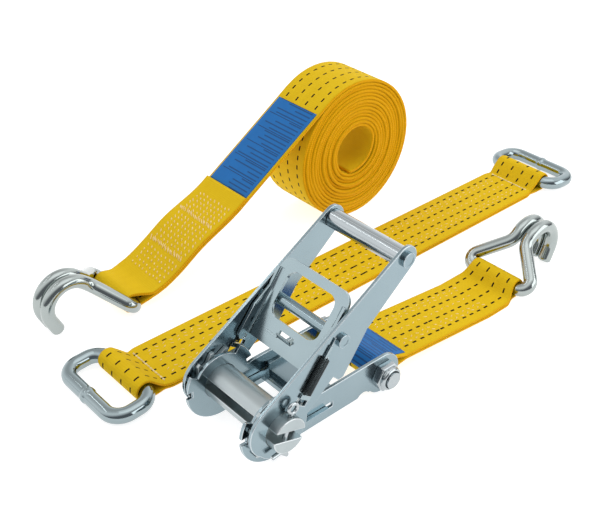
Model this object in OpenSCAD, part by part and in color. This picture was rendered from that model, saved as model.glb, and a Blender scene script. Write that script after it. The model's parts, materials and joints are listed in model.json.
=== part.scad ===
// Ratchet tie down set: a 50 mm ratchet with a short anchored strap and claw hook,
// a long strap wound on itself with its own claw hook, and a link strap with a ring at each end.
// The origin is the middle of the mandrel's axis: X runs to the anchor bolt, Y along the mandrel, Z up.

/* [Webbing] */
// Width of the webbing
web_w = 50; // [46:1:54]
// Thickness of one layer of webbing
web_t = 2.4; // [2:0.1:2.5]
// Thickness of the sewn-on labels
label_t = 0.6; // [0.4:0.1:1]
// Width of the sewn-on labels
label_w = 46; // [36:1:46]
// Width of the webbing where it is gathered in a hook or a ring
loop_w = 42; // [36:1:44]

/* [Frame] */
// Thickness of the frame and handle plates
plate_t = 2.5; // [2.3:0.1:3]
// Room beside the webbing at each frame plate
side_room = 1.2; // [1:0.1:3]
// Radius of the frame's round end, which stands on the floor
frame_lobe_r = 27; // [26.5:0.1:28]
// Radius of the frame's rim where it is cut down over the teeth
rim_low_r = 20.5; // [19.5:0.1:22]
// Distance from the mandrel to the anchor bolt
bolt_x = 95; // [90:1:105]
// Radius of the frame's end round the anchor bolt
bolt_lobe_r = 15; // [14:0.1:16]
// Height of the frame's arm
arm_h = 24.4; // [23:0.1:25]
// Depth of the notches in the frame's rim
rim_notch_depth = 4.5; // [3:0.1:5]
// Width of the notches in the frame's rim
rim_notch_w = 4.6; // [3:0.1:6]
// Diameter of the anchor bolt
bolt_d = 12; // [10:0.5:13]
// Width across the flats of the anchor bolt's head and nut
bolt_flats = 19; // [18:0.5:20]
// Height of the anchor nut
nut_h = 9.3; // [7:0.1:10]
// Height of the anchor bolt's head
bolt_head_h = 7.5; // [6:0.1:9]

/* [Mandrel] */
// Diameter over the mandrel's two half shafts
mandrel_d = 25; // [22:0.5:26]
// Width of the slot between the half shafts
slot_w = 6.6; // [4.5:0.1:8]
// Tilt of the slot at rest
slot_tilt = -19; // [-30:1:30]
// How far the half shafts stand out of the handle
shaft_out = 7.8; // [6.5:0.1:10]
// Diameter of the split pins
split_pin_d = 3.4; // [2.6:0.1:3.8]

/* [Ratchet wheels and pawls] */
// Radius over the teeth of a ratchet wheel
wheel_r = 23; // [22.5:0.1:23.5]
// Depth of the teeth
tooth_depth = 4.5; // [4:0.1:4.8]
// Thickness of a ratchet wheel
wheel_t = 2.8; // [2.6:0.1:3.4]
// Thickness of the lock pawl's plate
lock_t = 3.6; // [3:0.1:3.8]
// Length of the lock pawl's raised plate
lock_plate_l = 20; // [14:1:24]
// Travel of the lock pawl
lock_travel = 6; // [5:0.5:8]
// Thickness of the drive pawl's sheet
slider_t = 2.3; // [2:0.1:2.4]
// How far the drive pawl drops into the teeth
drive_drop = 4.2; // [3.6:0.1:4.3]
// How far the drive pawl is pulled back
drive_pull = 5; // [4:0.5:6]
// Thickness of the drive pawl's fingers
finger_t = 2.6; // [2:0.1:2.8]
// Outer diameter of a drive spring
spring_d = 7.2; // [6.4:0.1:7.6]
// Wire diameter of a drive spring
spring_wire_d = 0.9; // [0.6:0.05:0.9]
// How far the drive springs lie below the drive pawl's path
spring_drop = 3.4; // [3:0.1:4]
// Curls in a drive spring
spring_curls = 17; // [12:1:18]

/* [Handle] */
// Angle of the handle above the frame at rest
handle_angle = 37.4; // [35:0.1:41]
// Angle between the drive pawl's path and the grip
grip_bend = 14.2; // [12:0.1:16]
// Distance from the mandrel to the grip
handle_len = 131.2; // [126:0.1:140]
// Radius of the handle plates at the mandrel
cam_r = 19.2; // [18.5:0.1:21]
// Radius of the handle plates round the grip
grip_lobe_r = 9.2; // [9:0.1:11]
// Depth of the toe on the lower edge of the handle plates
toe_depth = 13; // [10:0.1:14]
// Diameter of the grip's rivet
grip_rivet_d = 9.4; // [8:0.1:10]
// Wall of the rolled grip
grip_wall = 1.6; // [1.2:0.1:2.2]
// Diameter of the stop rod
rod_d = 8; // [7:0.1:8.4]
// Distance from the mandrel to the stop rod
rod_reach = 66.3; // [65.5:0.1:68]
// How far the stop rod lies below the drive pawl's path
rod_drop = 11.6; // [11:0.1:12.2]
// How far the rivet heads stand out of the handle
head_out = 2.5; // [1.5:0.1:3.5]

/* [Hooks and rings] */
// Diameter of the hooks' wire
hook_d = 10.5; // [9:0.1:11]
// Slope of a hook's shanks towards each other
shank_slope = 43; // [40:0.5:46]
// Length of the parallel part of a hook's shanks
shank_straight = 1.6; // [1:0.1:8]
// Radius of a hook's bend at the middle of the wire
hook_bend_r = 18.5; // [16:0.1:20]
// Angle through which a hook's points are bent over
hook_bend = 155; // [140:1:165]
// Length of a hook's straight points
hook_tip_l = 11; // [8:0.5:14]
// Diameter of the rings' wire
ring_d = 11; // [9:0.1:11.5]
// Width inside a ring
ring_in_w = 56; // [55:0.5:62]
// Depth inside a ring
ring_in_l = 19.5; // [17:0.5:26]
// Size of the weld's bulge on a ring
weld_bulge = 0.6; // [0.3:0.1:1]

/* [Straps] */
// Length of the short strap from the bolt to its hook
short_l = 155; // [140:1:180]
// Length of the link strap from ring to ring
link_l = 432; // [400:1:460]
// Distance from the ratchet's middle to the link strap's middle
link_y = 93; // [88:1:98]
// Distance from the mandrel to the link strap's near ring
link_x = -31.5; // [-40:0.5:-25]
// Distance from the ratchet's middle to the long strap's middle
long_y = 180; // [175:1:200]
// Distance from the mandrel to the middle of the roll
roll_x = 246; // [240:1:260]
// Turns in the roll
roll_turns = 13.3; // [9:0.1:14]
// Radius of the roll where the tail leaves it
roll_r = 61; // [59:0.5:63]
// Gap between the turns of the roll
roll_gap = 0.55; // [0.45:0.05:0.6]
// Slope of the long strap's tail
tail_slope = 33; // [31:0.5:36]
// Radius of the tail's bend above its hook
tail_bend_r = 67; // [50:1:80]
// Level stretch of the tail beside its hook
tail_flat_l = 16.2; // [16:0.1:24]
// Length of the label on the tail
tail_label_l = 89; // [70:1:92]
// Length of the label on the short strap
short_label_l = 26; // [18:1:27]

/* [Hidden] */

zinc = "lightsteelblue";
chrome = "gainsboro";
spring_steel = "dimgray";
yellow = "goldenrod";
blue = "steelblue";

// Clearances
shaft_clear = 0.08;
side_gap = 0.35;
slide_clear = 0.3;
loop_clear = 0.35;
tooth_clear = 0.3;
eps = 0.01;

// Levels across the ratchet, from its middle outwards
frame_in = web_w / 2 + side_room;
frame_out = frame_in + plate_t;
wheel_in = frame_out + side_gap;
wheel_out = wheel_in + wheel_t;
handle_in = wheel_out + side_gap;
handle_out = handle_in + plate_t;
shaft_end = handle_out + shaft_out;
pin_y = handle_out + shaft_out / 2;

// Frame
floor_z = -frame_lobe_r;
bolt_z = floor_z + bolt_lobe_r;
bolt_at = [bolt_x, bolt_z];
arm_top = bolt_z + bolt_lobe_r;
arm_bottom = arm_top - arm_h;
mandrel_r = mandrel_d / 2;
scallop_r = 6.5;
scallop_depth = 2.5;
open_notch_angle = 178;
closed_notch_angle = 11;
rim_low_from = 50;
rim_low_span = 97;
bolt_tip_out = 1.3;
chamfer_angle = 30;

// Teeth: the drive pawl's path is radial, and its fingers pass beside it
teeth = 12;
pitch_angle = 360 / teeth;
root_r = wheel_r - tooth_depth;
floor_angle = 10;
crest_angle = 6;
path_angle = handle_angle + grip_bend;
finger_top = -6.7;
finger_low = finger_top - finger_t;
face_room = asin(tooth_clear / wheel_r);
face_angle = path_angle + asin(finger_top / wheel_r) + face_room;
finger_tip = sqrt(pow(wheel_r + tooth_clear, 2) - pow(finger_top, 2));

// Lock pawl: its nose lies in a gap between the teeth, two pitches below the drive pawl's
lock_face = face_angle - 2 * pitch_angle;
lock_top = wheel_r * sin(lock_face - face_room);
lock_nose_x = sqrt(pow(root_r + 2 * tooth_clear, 2) - pow(lock_top, 2));
lock_ear_l = 26;
lock_bar_x = frame_lobe_r + 4;
lock_plate_x = lock_bar_x + 5;
lock_plate_room = 1.5;
lock_corner_r = 6;

// Handle, drawn along the drive pawl's path
cam_at = [-1, 6.2];
grip_at = handle_len * [cos(-grip_bend), sin(-grip_bend)];
rod_at = [sqrt(pow(rod_reach, 2) - pow(rod_drop, 2)), -rod_drop];
toe_s = 39.5;
toe_l = 38.5;
toe_slant = 3;
bearing_r = 21;
head_extra = 0.6;

// Drive spring, in a slot of the handle plate
spring_clear = 0.3;
spring_out = 0.7;
spring_y = handle_out + spring_out;
spring_r = (spring_d - spring_wire_d) / 2;
spring_slot_w = spring_d + 2 * spring_clear;
spring_l = 25;

// Drive pawl: a web with a window, its sides turned up along the handle plates
slider_edge = spring_y - spring_d / 2 - slide_clear;
flange_in = slider_edge - slider_t;
web_low = -rod_drop + rod_d / 2 + side_gap;
web_top = web_low + slider_t;
web_room = 12.7;
web_l = 57.3;
apron_l = 21;
crossbar_l = 6.5;
rail_w = 7.2;
web_s0 = wheel_r + web_room;
web_s1 = web_s0 + web_l;
window_s0 = web_s0 + apron_l;
window_s1 = web_s1 - crossbar_l;
window_r = 7;
window_half = flange_in - rail_w;
corner_r = 9;
bend_r = 2.5;
lip_h = 2;
flange_s0 = wheel_r + tooth_clear + drive_drop + 2.5;
flange_s1 = rod_at[0] - rod_d / 2 - drive_pull - 1.6;
flange_top = spring_d / 2 - spring_drop + 2.2;
flange_slope_l = 16;
ear_l = 3;
ear_s0 = finger_tip + 0.1;
ear_s1 = ear_s0 + ear_l;
ear_top = spring_d / 2 - spring_drop;
tongue_w = 2;
tongue_t = 1.6;
dimple_r = 2.2;
dimple_depth = 1;
dimple_pitch = 12.6;
tab_s = web_s0 + 11;
tab_l = 13;
tab_w = 5;
tab_lift = 14;

// The spring's ends, and the slots that the ear and the tongue run in
spring_s0 = ear_s1 + spring_wire_d / 2 + spring_clear;
spring_s1 = spring_s0 + spring_l;
spring_slot_end = spring_s1 + spring_wire_d / 2 + spring_clear;
ear_slot_s0 = ear_s0 - drive_drop - slide_clear;
tongue_s1 = spring_slot_end + 8;
tongue_slot_end = tongue_s1 + drive_pull + slide_clear;

// Grip
sleeve_in_r = grip_rivet_d / 2 + slide_clear;
sleeve_out_r = sleeve_in_r + grip_wall;
sleeve_half = handle_in - side_gap;
seam_lap = 100;
seam_turn = 60;

// Hooks: the eye of the webbing lies on the floor round the hook's bar
hook_r = hook_d / 2;
hook_eye_r = hook_r + loop_clear;
hook_eye_out = hook_eye_r + web_t;
hook_eye_z = floor_z + hook_eye_out;
hook_corner_r = hook_d * 0.62;
bar_room = 0.5;
hook_corner_y = loop_w / 2 + bar_room + hook_corner_r / tan(45 - shank_slope / 2);
hook_point_y = hook_r + 0.4;
shank_knee_r = 14;
knee_x = (hook_corner_y - hook_point_y) / tan(shank_slope);
bend_x = knee_x + shank_knee_r * tan(shank_slope / 2) + shank_straight;
hook_sides = 12;
bar_skin = 0.05;
hook_tip = [
    bend_x + hook_bend_r * sin(hook_bend) + hook_tip_l * cos(hook_bend),
    hook_bend_r * (1 - cos(hook_bend)) + hook_tip_l * sin(hook_bend)
];
hook_tilt = tilt_to_floor(0, 80, 24);
short_hook_x = bolt_x + short_l;

// Rings
ring_r = ring_d / 2;
ring_eye_r = ring_r + loop_clear;
ring_eye_out = ring_eye_r + web_t;
ring_eye_z = floor_z + ring_eye_out;
ring_mid_w = ring_in_w + ring_d;
ring_mid_l = ring_in_l + ring_d;
ring_corner_r = (ring_mid_w - loop_w) / 2 - bar_room;
ring_tilt = asin((ring_eye_out - ring_r - weld_bulge) / ring_mid_l);
ring_sides = 12;
weld_l = 7;
link_far_x = link_x + link_l;
seam_l = 16;

// Straps
floor_line = floor_z + web_t;
taper_l = 18;
throat_l = 28;
short_flat_l = 36;
bolt_eye_r = bolt_d / 2 + loop_clear;
bolt_eye_out = bolt_eye_r + web_t;
label_wrap = 172;
label_steps = 12;

// Roll
roll_pitch = web_t + roll_gap;
roll_segments = 24;
roll_steps = round(roll_turns * roll_segments);
roll_bottom_r = roll_r - roll_pitch * (180 + tail_slope) / 360;
roll_at = [roll_x, floor_z + roll_bottom_r + web_t / 2 + 0.1];
roll_start = 90 + tail_slope;
flap_l = 20;
flap_turn = 34;
leave_at = roll_at + roll_r * [cos(roll_start), sin(roll_start)];
tail_dir = [cos(tail_slope), sin(tail_slope)];
tail_corner = [leave_at[0] + (hook_eye_z - leave_at[1]) / tan(tail_slope), hook_eye_z];
long_hook_x = tail_corner[0] - tail_bend_r * tan(tail_slope / 2) - tail_flat_l;
label_end_l = 12;
label_room = 0.5;

function unit(v) = v / norm(v);
function flip(list) = [for (i = [len(list) - 1:-1:0]) list[i]];

// Height of the lowest point of a hook's tip above the floor at a tilt of its shanks
function tip_height(a) =
    hook_eye_out + hook_tip[0] * sin(a) - hook_tip[1] * cos(a)
    - hook_r * abs(cos(a - hook_bend));

// The tilt at which a hook's tip comes down on the floor, found by halving
function tilt_to_floor(low, high, steps) =
    steps == 0
        ? high
        : tip_height((low + high) / 2) > 0
            ? tilt_to_floor(low, (low + high) / 2, steps - 1)
            : tilt_to_floor((low + high) / 2, high, steps - 1);

// Left normals of an open line of points in the plane
function normals(line) = [
    for (i = [0:len(line) - 1])
        let (
            a = unit(line[min(i + 1, len(line) - 1)] - line[min(i, len(line) - 2)]),
            b = unit(line[max(i, 1)] - line[max(i - 1, 0)]),
            m = unit(a + b)
        )
            [-m[1], m[0]] / (m * a)
];

// A ribbon's outline between two offsets from its line
function ribbon(line, low, high) =
    let (side = normals(line))
        concat(
            [for (i = [0:len(line) - 1]) line[i] + side[i] * low],
            flip([for (i = [0:len(line) - 1]) line[i] + side[i] * high])
        );

// Points of a corner rounded to a radius
function rounded(a, b, c, r, steps) =
    let (
        u = unit(a - b),
        v = unit(c - b),
        half = acos(u * v) / 2,
        reach = r / tan(half),
        middle = b + unit(u + v) * (r / sin(half)),
        from = b + u * reach - middle,
        to = b + v * reach - middle,
        span = 180 - 2 * half
    )
        [for (i = [0:steps]) let (t = i / steps)
            middle + (from * sin(span * (1 - t)) + to * sin(span * t)) / sin(span)];

// Rings of points along a line of points in space, carried without twist
function carried(n, t) = unit(n - (n * t) * t);
function tangents(line, closed) = [
    for (i = [0:len(line) - 1])
        let (
            last = len(line) - 1,
            after = line[i < last ? i + 1 : closed ? 0 : last],
            before = line[i > 0 ? i - 1 : closed ? last : 0]
        )
            unit(after - before)
];
function frames(line, first, closed) =
    let (t = tangents(line, closed))
        [for (i = 0, n = carried(first, t[0]); i < len(line);
              i = i + 1, n = i < len(line) ? carried(n, t[i]) : n) n];

// A round tube along a line of points, open with flat ends or closed on itself
module tube(line, radii, sides, first, closed = false) {
    t = tangents(line, closed);
    n = frames(line, first, closed);
    count = len(line);
    points = [
        for (i = [0:count - 1])
            for (k = [0:sides - 1])
                line[i] + radii[i] * (cos(360 * k / sides) * n[i]
                                      + sin(360 * k / sides) * cross(t[i], n[i]))
    ];
    walls = [
        for (i = [0:(closed ? count - 1 : count - 2)])
            for (k = [0:sides - 1])
                let (
                    a = i * sides + k,
                    b = i * sides + (k + 1) % sides,
                    c = ((i + 1) % count) * sides + (k + 1) % sides,
                    d = ((i + 1) % count) * sides + k
                )
                    each [[a, c, b], [a, d, c]]
    ];
    ends = closed ? [] : concat(
        [for (k = [1:sides - 2]) [0, k, k + 1]],
        [for (k = [1:sides - 2])
            [(count - 1) * sides, (count - 1) * sides + k + 1, (count - 1) * sides + k]]
    );
    polyhedron(points, concat(walls, ends));
}

// A circle and its outer tangents to a second circle, which is left out
module loop(p1, r1, p2, r2) {
    along = atan2(p2[1] - p1[1], p2[0] - p1[0]);
    spread = acos((r1 - r2) / norm(p2 - p1));
    up = [cos(along + spread), sin(along + spread)];
    down = [cos(along - spread), sin(along - spread)];
    polygon([p1 + r1 * down, p2 + r2 * down, p2 + r2 * up, p1 + r1 * up]);
    translate(p1)
        circle(r1, $fn = 96);
}

// Extrudes a side view from one level across the ratchet to another
module across(y0, y1) {
    translate([0, y1, 0])
        rotate([90, 0, 0])
            linear_extrude(y1 - y0)
                children();
}

// A plate on one side of the ratchet
module side_plate(side, inner, outer) {
    across(side > 0 ? inner : -outer, side > 0 ? outer : -inner)
        children();
}

module rod(at, r, y0, y1) {
    across(y0, y1)
        translate(at)
            circle(r, $fn = 64);
}

// Places a piece that is drawn along the drive pawl's path
module on_handle() {
    rotate([0, -path_angle, 0])
        children();
}

module slot(x0, x1, w) {
    translate([x0, -w / 2])
        square([x1 - x0, w]);
}

// Frame

module rim_notch(angle) {
    rotate(angle)
        slot(frame_lobe_r - rim_notch_depth, frame_lobe_r + rim_notch_depth, rim_notch_w);
}

module frame_profile() {
    difference() {
        union() {
            circle(frame_lobe_r, $fn = 128);
            translate([0, arm_bottom])
                square([bolt_x, arm_h]);
            translate(bolt_at)
                circle(bolt_lobe_r, $fn = 96);
        }
        translate([bolt_x - bolt_lobe_r - scallop_r / 2, arm_bottom + scallop_depth - scallop_r])
            circle(scallop_r, $fn = 48);
        circle(mandrel_r + shaft_clear, $fn = 96);
        translate(bolt_at)
            circle(bolt_d / 2 + shaft_clear, $fn = 64);
        difference() {
            sector(2 * frame_lobe_r, rim_low_from, rim_low_span);
            circle(rim_low_r, $fn = 96);
        }
        rim_notch(open_notch_angle);
        rim_notch(closed_notch_angle);
        translate([0, lock_top - lock_t / 2])
            slot(lock_nose_x - slide_clear, lock_nose_x + lock_ear_l + lock_travel + slide_clear,
                 lock_t + 2 * slide_clear);
    }
}

module frame_plate(side) {
    color(zinc)
        side_plate(side, frame_in, frame_out)
            frame_profile();
}

// A hexagon whose outer corners are turned off to a cone
module hexagon(h) {
    r = bolt_flats / sqrt(3);
    intersection() {
        cylinder(r = r, h = h, $fn = 6);
        union() {
            cylinder(r = r + eps, h = h - (r - bolt_flats / 2) * tan(chamfer_angle), $fn = 64);
            translate([0, 0, h - (r - bolt_flats / 2) * tan(chamfer_angle)])
                cylinder(r1 = r + eps, r2 = bolt_flats / 2, h = (r - bolt_flats / 2) * tan(chamfer_angle),
                         $fn = 64);
        }
    }
}

module anchor_bolt() {
    color(chrome) {
        rod(bolt_at, bolt_d / 2, -frame_out - nut_h - bolt_tip_out, frame_out);
        translate([bolt_x, frame_out, bolt_z])
            rotate([-90, 0, 0])
                hexagon(bolt_head_h);
    }
}

module anchor_nut() {
    color(chrome)
        translate([bolt_x, -frame_out, bolt_z])
            rotate([90, 0, 0])
                difference() {
                    hexagon(nut_h);
                    translate([0, 0, -eps])
                        cylinder(d = bolt_d + 2 * shaft_clear, h = nut_h + 2 * eps, $fn = 64);
                }
}

// A rectangle from one corner to another with its corners rounded
module rounded_square(x0, x1, half, r) {
    translate([x0 + r, -half])
        square([x1 - x0 - 2 * r, 2 * half]);
    translate([x0, -half + r])
        square([x1 - x0, 2 * (half - r)]);
    for (x = [x0 + r, x1 - r])
        for (y = [-half + r, half - r])
            translate([x, y])
                circle(r, $fn = 48);
}

// A bar across the frame with a nose through each frame plate into the wheel's teeth, and a raised plate
module lock_pawl() {
    body_half = frame_in - slide_clear;
    bar_l = lock_nose_x + lock_ear_l - lock_bar_x;
    color(zinc) {
        translate([0, 0, lock_top - lock_t])
            linear_extrude(lock_t)
                union() {
                    translate([lock_bar_x, -wheel_out])
                        square([bar_l, 2 * wheel_out]);
                    for (y = [-wheel_out, body_half - lock_corner_r])
                        translate([lock_nose_x, y])
                            square([lock_ear_l, wheel_out - body_half + lock_corner_r]);
                }
        translate([0, 0, lock_top - eps])
            linear_extrude(lock_t)
                rounded_square(lock_plate_x, lock_plate_x + lock_plate_l, body_half - lock_plate_room,
                               lock_corner_r);
    }
}

// Mandrel

// The section of a half shaft: a circle less the slot and the other half
module half_round(r, side) {
    intersection() {
        circle(r, $fn = 96);
        translate([-2 * r, side > 0 ? slot_w / 2 : -slot_w / 2 - 2 * r])
            square([4 * r, 2 * r]);
    }
}

module half_shaft(side) {
    color(zinc)
        rotate([0, -slot_tilt, 0])
            difference() {
                across(-shaft_end, shaft_end)
                    half_round(mandrel_r, side);
                for (y = [-pin_y, pin_y])
                    translate([0, y, -mandrel_d])
                        cylinder(d = split_pin_d + 2 * shaft_clear, h = 2 * mandrel_d, $fn = 32);
            }
}

module tooth_outline() {
    polygon([
        for (i = [0:teeth - 1])
            for (p = [
                [root_r, -floor_angle], [root_r, -floor_angle / 2], [root_r, 0],
                [wheel_r, 0], [wheel_r, crest_angle]
            ])
                let (a = face_angle + i * pitch_angle + p[1])
                    p[0] * [cos(a), sin(a)]
    ]);
}

module ratchet_wheel(side) {
    color(chrome)
        side_plate(side, wheel_in, wheel_out)
            difference() {
                tooth_outline();
                rotate(slot_tilt)
                    for (half = [-1, 1])
                        half_round(mandrel_r + shaft_clear, half);
            }
}

// A split pin through both half shafts, with its eye above and its legs spread below
module split_pin(side) {
    eye_r = split_pin_d;
    leg_l = 2 * split_pin_d;
    leg_r = split_pin_d / 2;
    color(chrome)
        rotate([0, -slot_tilt, 0])
            translate([0, side * pin_y, 0]) {
                translate([0, 0, -mandrel_r - leg_r])
                    cylinder(r = leg_r, h = mandrel_d + 2 * leg_r, $fn = 32);
                translate([0, 0, mandrel_r + leg_r + eye_r])
                    rotate([90, 0, 0])
                        rotate_extrude($fn = 48)
                            translate([eye_r, 0])
                                circle(leg_r * 0.8, $fn = 24);
                for (x = [-1, 1])
                    translate([0, 0, -mandrel_r - leg_r])
                        rotate([0, x * 115, 0])
                            cylinder(r = leg_r * 0.9, h = leg_l, $fn = 24);
            }
}

// Handle

module handle_profile() {
    low_dir = unit(grip_at - cam_at);
    difference() {
        union() {
            loop(cam_at, cam_r, grip_at, grip_lobe_r);
            translate(grip_at)
                circle(grip_lobe_r, $fn = 96);
            circle(bearing_r, $fn = 96);
            polygon([
                [toe_s + toe_slant, -cam_r / 2],
                [toe_s, -cam_r - toe_depth + toe_slant],
                [toe_s + toe_slant, -cam_r - toe_depth],
                [toe_s + toe_l, -cam_r + low_dir[1] * (toe_s + toe_l) / 2],
                [toe_s + toe_l, -cam_r / 2]
            ]);
        }
        circle(mandrel_r + shaft_clear, $fn = 96);
        translate(rod_at)
            circle(rod_d / 2 + shaft_clear, $fn = 64);
        translate(grip_at)
            circle(grip_rivet_d / 2 + shaft_clear, $fn = 64);
        translate([0, -spring_drop]) {
            slot(ear_slot_s0, spring_slot_end, spring_slot_w);
            slot(spring_slot_end - eps, tongue_slot_end, tongue_w + 2 * slide_clear);
        }
        translate([ear_slot_s0, finger_low - slide_clear])
            square([ear_s1 + drive_pull + slide_clear - ear_slot_s0, -finger_low]);
    }
}

module handle_plate(side) {
    color(zinc)
        on_handle()
            side_plate(side, handle_in, handle_out)
                handle_profile();
}

// A rod across the handle with a head riveted over at each end
module riveted_rod(at, d) {
    on_handle() {
        rod(at, d / 2, -handle_out - head_out, handle_out + head_out);
        for (y = [-handle_out - head_out, handle_out])
            rod(at, d / 2 + head_extra, y, y + head_out);
    }
}

module stop_rod() {
    color(zinc)
        riveted_rod(rod_at, rod_d);
}

module grip_rivet() {
    color(zinc)
        riveted_rod(grip_at, grip_rivet_d);
}

module sector(r, from, span) {
    polygon(concat(
        [[0, 0]],
        [for (i = [0:8]) let (a = from + span * i / 8) r * [cos(a), sin(a)]]
    ));
}

// A tube rolled from sheet, whose outer end laps over it along the top
module grip_sleeve() {
    color(chrome)
        on_handle()
            across(-sleeve_half, sleeve_half)
                translate(grip_at)
                    difference() {
                        union() {
                            circle(sleeve_out_r, $fn = 96);
                            intersection() {
                                circle(sleeve_out_r + grip_wall / 2, $fn = 96);
                                sector(2 * sleeve_out_r, seam_turn, seam_lap);
                            }
                        }
                        circle(sleeve_in_r, $fn = 96);
                    }
}

// The drive pawl's web seen square on: a sheet with rounded top corners and a finger window
module slider_web() {
    difference() {
        union() {
            rounded_square(web_s0, web_s1, slider_edge, corner_r);
            translate([web_s0, -slider_edge])
                square([corner_r, 2 * slider_edge]);
        }
        rounded_square(window_s0, window_s1, window_half, window_r);
        translate([tab_s - tab_w / 2, -tab_l / 2])
            square([tab_w, tab_l]);
    }
}

// Side view of a turned-up side: tall beside the spring, a low lip along the window, a finger to the teeth
module flange_profile() {
    lip_top = web_top + lip_h;
    polygon([
        [flange_s0, finger_low], [flange_s1, finger_low], [flange_s1, web_low],
        [web_s1 - corner_r, web_low], [web_s1 - corner_r, lip_top], [flange_s1 + flange_slope_l, lip_top],
        [flange_s1, flange_top], [flange_s0 + bend_r, flange_top], [flange_s0, flange_top - bend_r]
    ]);
    translate([finger_tip, finger_low])
        square([flange_s0 + slider_t - finger_tip, finger_t]);
}

// The hollow of a bend between the web and a turned-up side
module bend_fillet(side) {
    translate([web_s0, side * (flange_in + eps), web_top - eps])
        rotate([90, 0, 90])
            linear_extrude(web_s1 - corner_r - web_s0)
                difference() {
                    translate([side > 0 ? -bend_r : 0, 0])
                        square(bend_r);
                    translate([-side * bend_r, bend_r])
                        circle(bend_r, $fn = 48);
                }
}

// One turned-up side with its spring dimples, its ear through the handle plate and the spring's tongue
module slider_flange(side) {
    difference() {
        side_plate(side, flange_in, slider_edge)
            flange_profile();
        for (i = [0, 1])
            translate([flange_s0 + 1.2 * dimple_r + i * dimple_pitch, side * (flange_in - eps), -spring_drop])
                rotate([-side * 90, 0, 0])
                    cylinder(r1 = dimple_r, r2 = dimple_r / 2, h = dimple_depth, $fn = 32);
    }
    side_plate(side, flange_in, spring_y + tongue_t / 2)
        translate([ear_s0, finger_low])
            square([ear_l, finger_t]);
    side_plate(side, handle_in, spring_y + tongue_t / 2)
        translate([ear_s0, finger_low])
            square([ear_l, ear_top - finger_low]);
    side_plate(side, spring_y - tongue_t / 2, spring_y + tongue_t / 2)
        translate([ear_s1 - eps, -spring_drop - tongue_w / 2])
            square([tongue_s1 - ear_s1 + eps, tongue_w]);
    bend_fillet(side);
}

module drive_pawl() {
    color(zinc)
        on_handle() {
            translate([0, 0, web_low])
                linear_extrude(slider_t)
                    slider_web();
            translate([tab_s - tab_w / 2, 0, web_top - slider_t / 2])
                rotate([0, -tab_lift, 0])
                    translate([-slide_clear, -tab_l / 2 + slide_clear, -slider_t / 4])
                        cube([tab_w, tab_l - 2 * slide_clear, slider_t / 2]);
            for (side = [-1, 1])
                slider_flange(side);
        }
}

// The line of a coil spring round the tongue, eight points to a curl
function coil(curls, r, s0, s1) =
    [for (i = [0:curls * 8])
        let (t = i / (curls * 8), a = 360 * curls * t)
            [s0 + (s1 - s0) * t, r * cos(a), r * sin(a)]];

spring_line = coil(spring_curls, spring_r, spring_s0, spring_s1);
spring_least_gap = min([
    for (i = [0:len(spring_line) - 9])
        norm(spring_line[i + 8] - spring_line[i]) - spring_wire_d
]);
echo(drive_spring_least_gap_mm = spring_least_gap);

module drive_spring(side) {
    color(spring_steel)
        on_handle()
            translate([0, side * spring_y, -spring_drop])
                tube(spring_line, [for (p = spring_line) spring_wire_d / 2], 6, [0, 1, 0]);
}

// Webbing

// Webbing drawn in side view, laid across its own middle
module webbing(middle, width) {
    across(middle - width / 2, middle + width / 2)
        children();
}

// Plan of a strap between two eyes, each with its own width there
module strap_plan(x0, w0, x1, w1, middle) {
    over = 2 * ring_eye_out;
    half = [w0, w0, web_w, web_w, w1, w1] / 2;
    x = [x0 - over, x0 + over / 4, x0 + taper_l, x1 - taper_l, x1 - over / 4, x1 + over];
    translate([0, middle, floor_z - web_w])
        linear_extrude(6 * web_w)
            polygon(concat(
                [for (i = [0:5]) [x[i], -half[i]]],
                [for (i = [5:-1:0]) [x[i], half[i]]]
            ));
}

short_hook_at = [short_hook_x, hook_eye_z];
short_low_at = [short_hook_x - short_flat_l, floor_line];
short_end_at = [short_hook_x - short_flat_l / 3, floor_line];
short_line = [bolt_at, short_low_at, short_end_at];
short_dir = unit(short_low_at - bolt_at);
throat_at = bolt_at + throat_l * short_dir;

// Two layers sewn together, round the anchor bolt at one end and the hook's bar at the other
module short_strap() {
    color(yellow)
        intersection() {
            webbing(0, 2 * web_w)
                difference() {
                    union() {
                        loop(bolt_at, bolt_eye_out, throat_at, web_t);
                        polygon(ribbon(short_line, -web_t, web_t));
                        loop(short_hook_at, hook_eye_out, short_end_at, web_t);
                    }
                    translate(bolt_at)
                        circle(bolt_eye_r, $fn = 64);
                    translate(short_hook_at)
                        circle(hook_eye_r, $fn = 64);
                }
            strap_plan(bolt_x, web_w, short_hook_x, loop_w, 0);
        }
}

// A label over the loop round the bolt and down the loop's slope
module short_label() {
    lean = atan2(short_dir[1], short_dir[0]) + acos((bolt_eye_out - web_t) / throat_l);
    up = [cos(lean), sin(lean)];
    top = bolt_at + bolt_eye_out * up;
    foot = throat_at + web_t * up;
    step = (lean - label_wrap) / label_steps;
    over = [
        for (i = [0:label_steps - 1])
            let (a = label_wrap + step * (i + 0.5))
                bolt_at + bolt_eye_out / cos(step / 2) * [cos(a), sin(a)]
    ];
    color(blue)
        webbing(0, label_w)
            polygon(ribbon(concat(over, [top, top + short_label_l * unit(foot - top)]), 0, label_t));
}

// Hooks

// Half of a hook's wire, from the middle of its bar to the tip on one side
function hook_half_line(side) =
    let (
        corner = [0, side * hook_corner_y, 0],
        knee = [knee_x, side * hook_point_y, 0],
        bend = [for (i = [0:14]) let (a = hook_bend * i / 14)
            [bend_x + hook_bend_r * sin(a), side * hook_point_y, hook_bend_r * (1 - cos(a))]]
    )
        concat(
            rounded([0, 0, 0], corner, knee, hook_corner_r, 8),
            rounded(corner, knee, bend[0], shank_knee_r, 4),
            bend,
            [[hook_tip[0], side * hook_point_y, hook_tip[1]]]
        );

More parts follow.
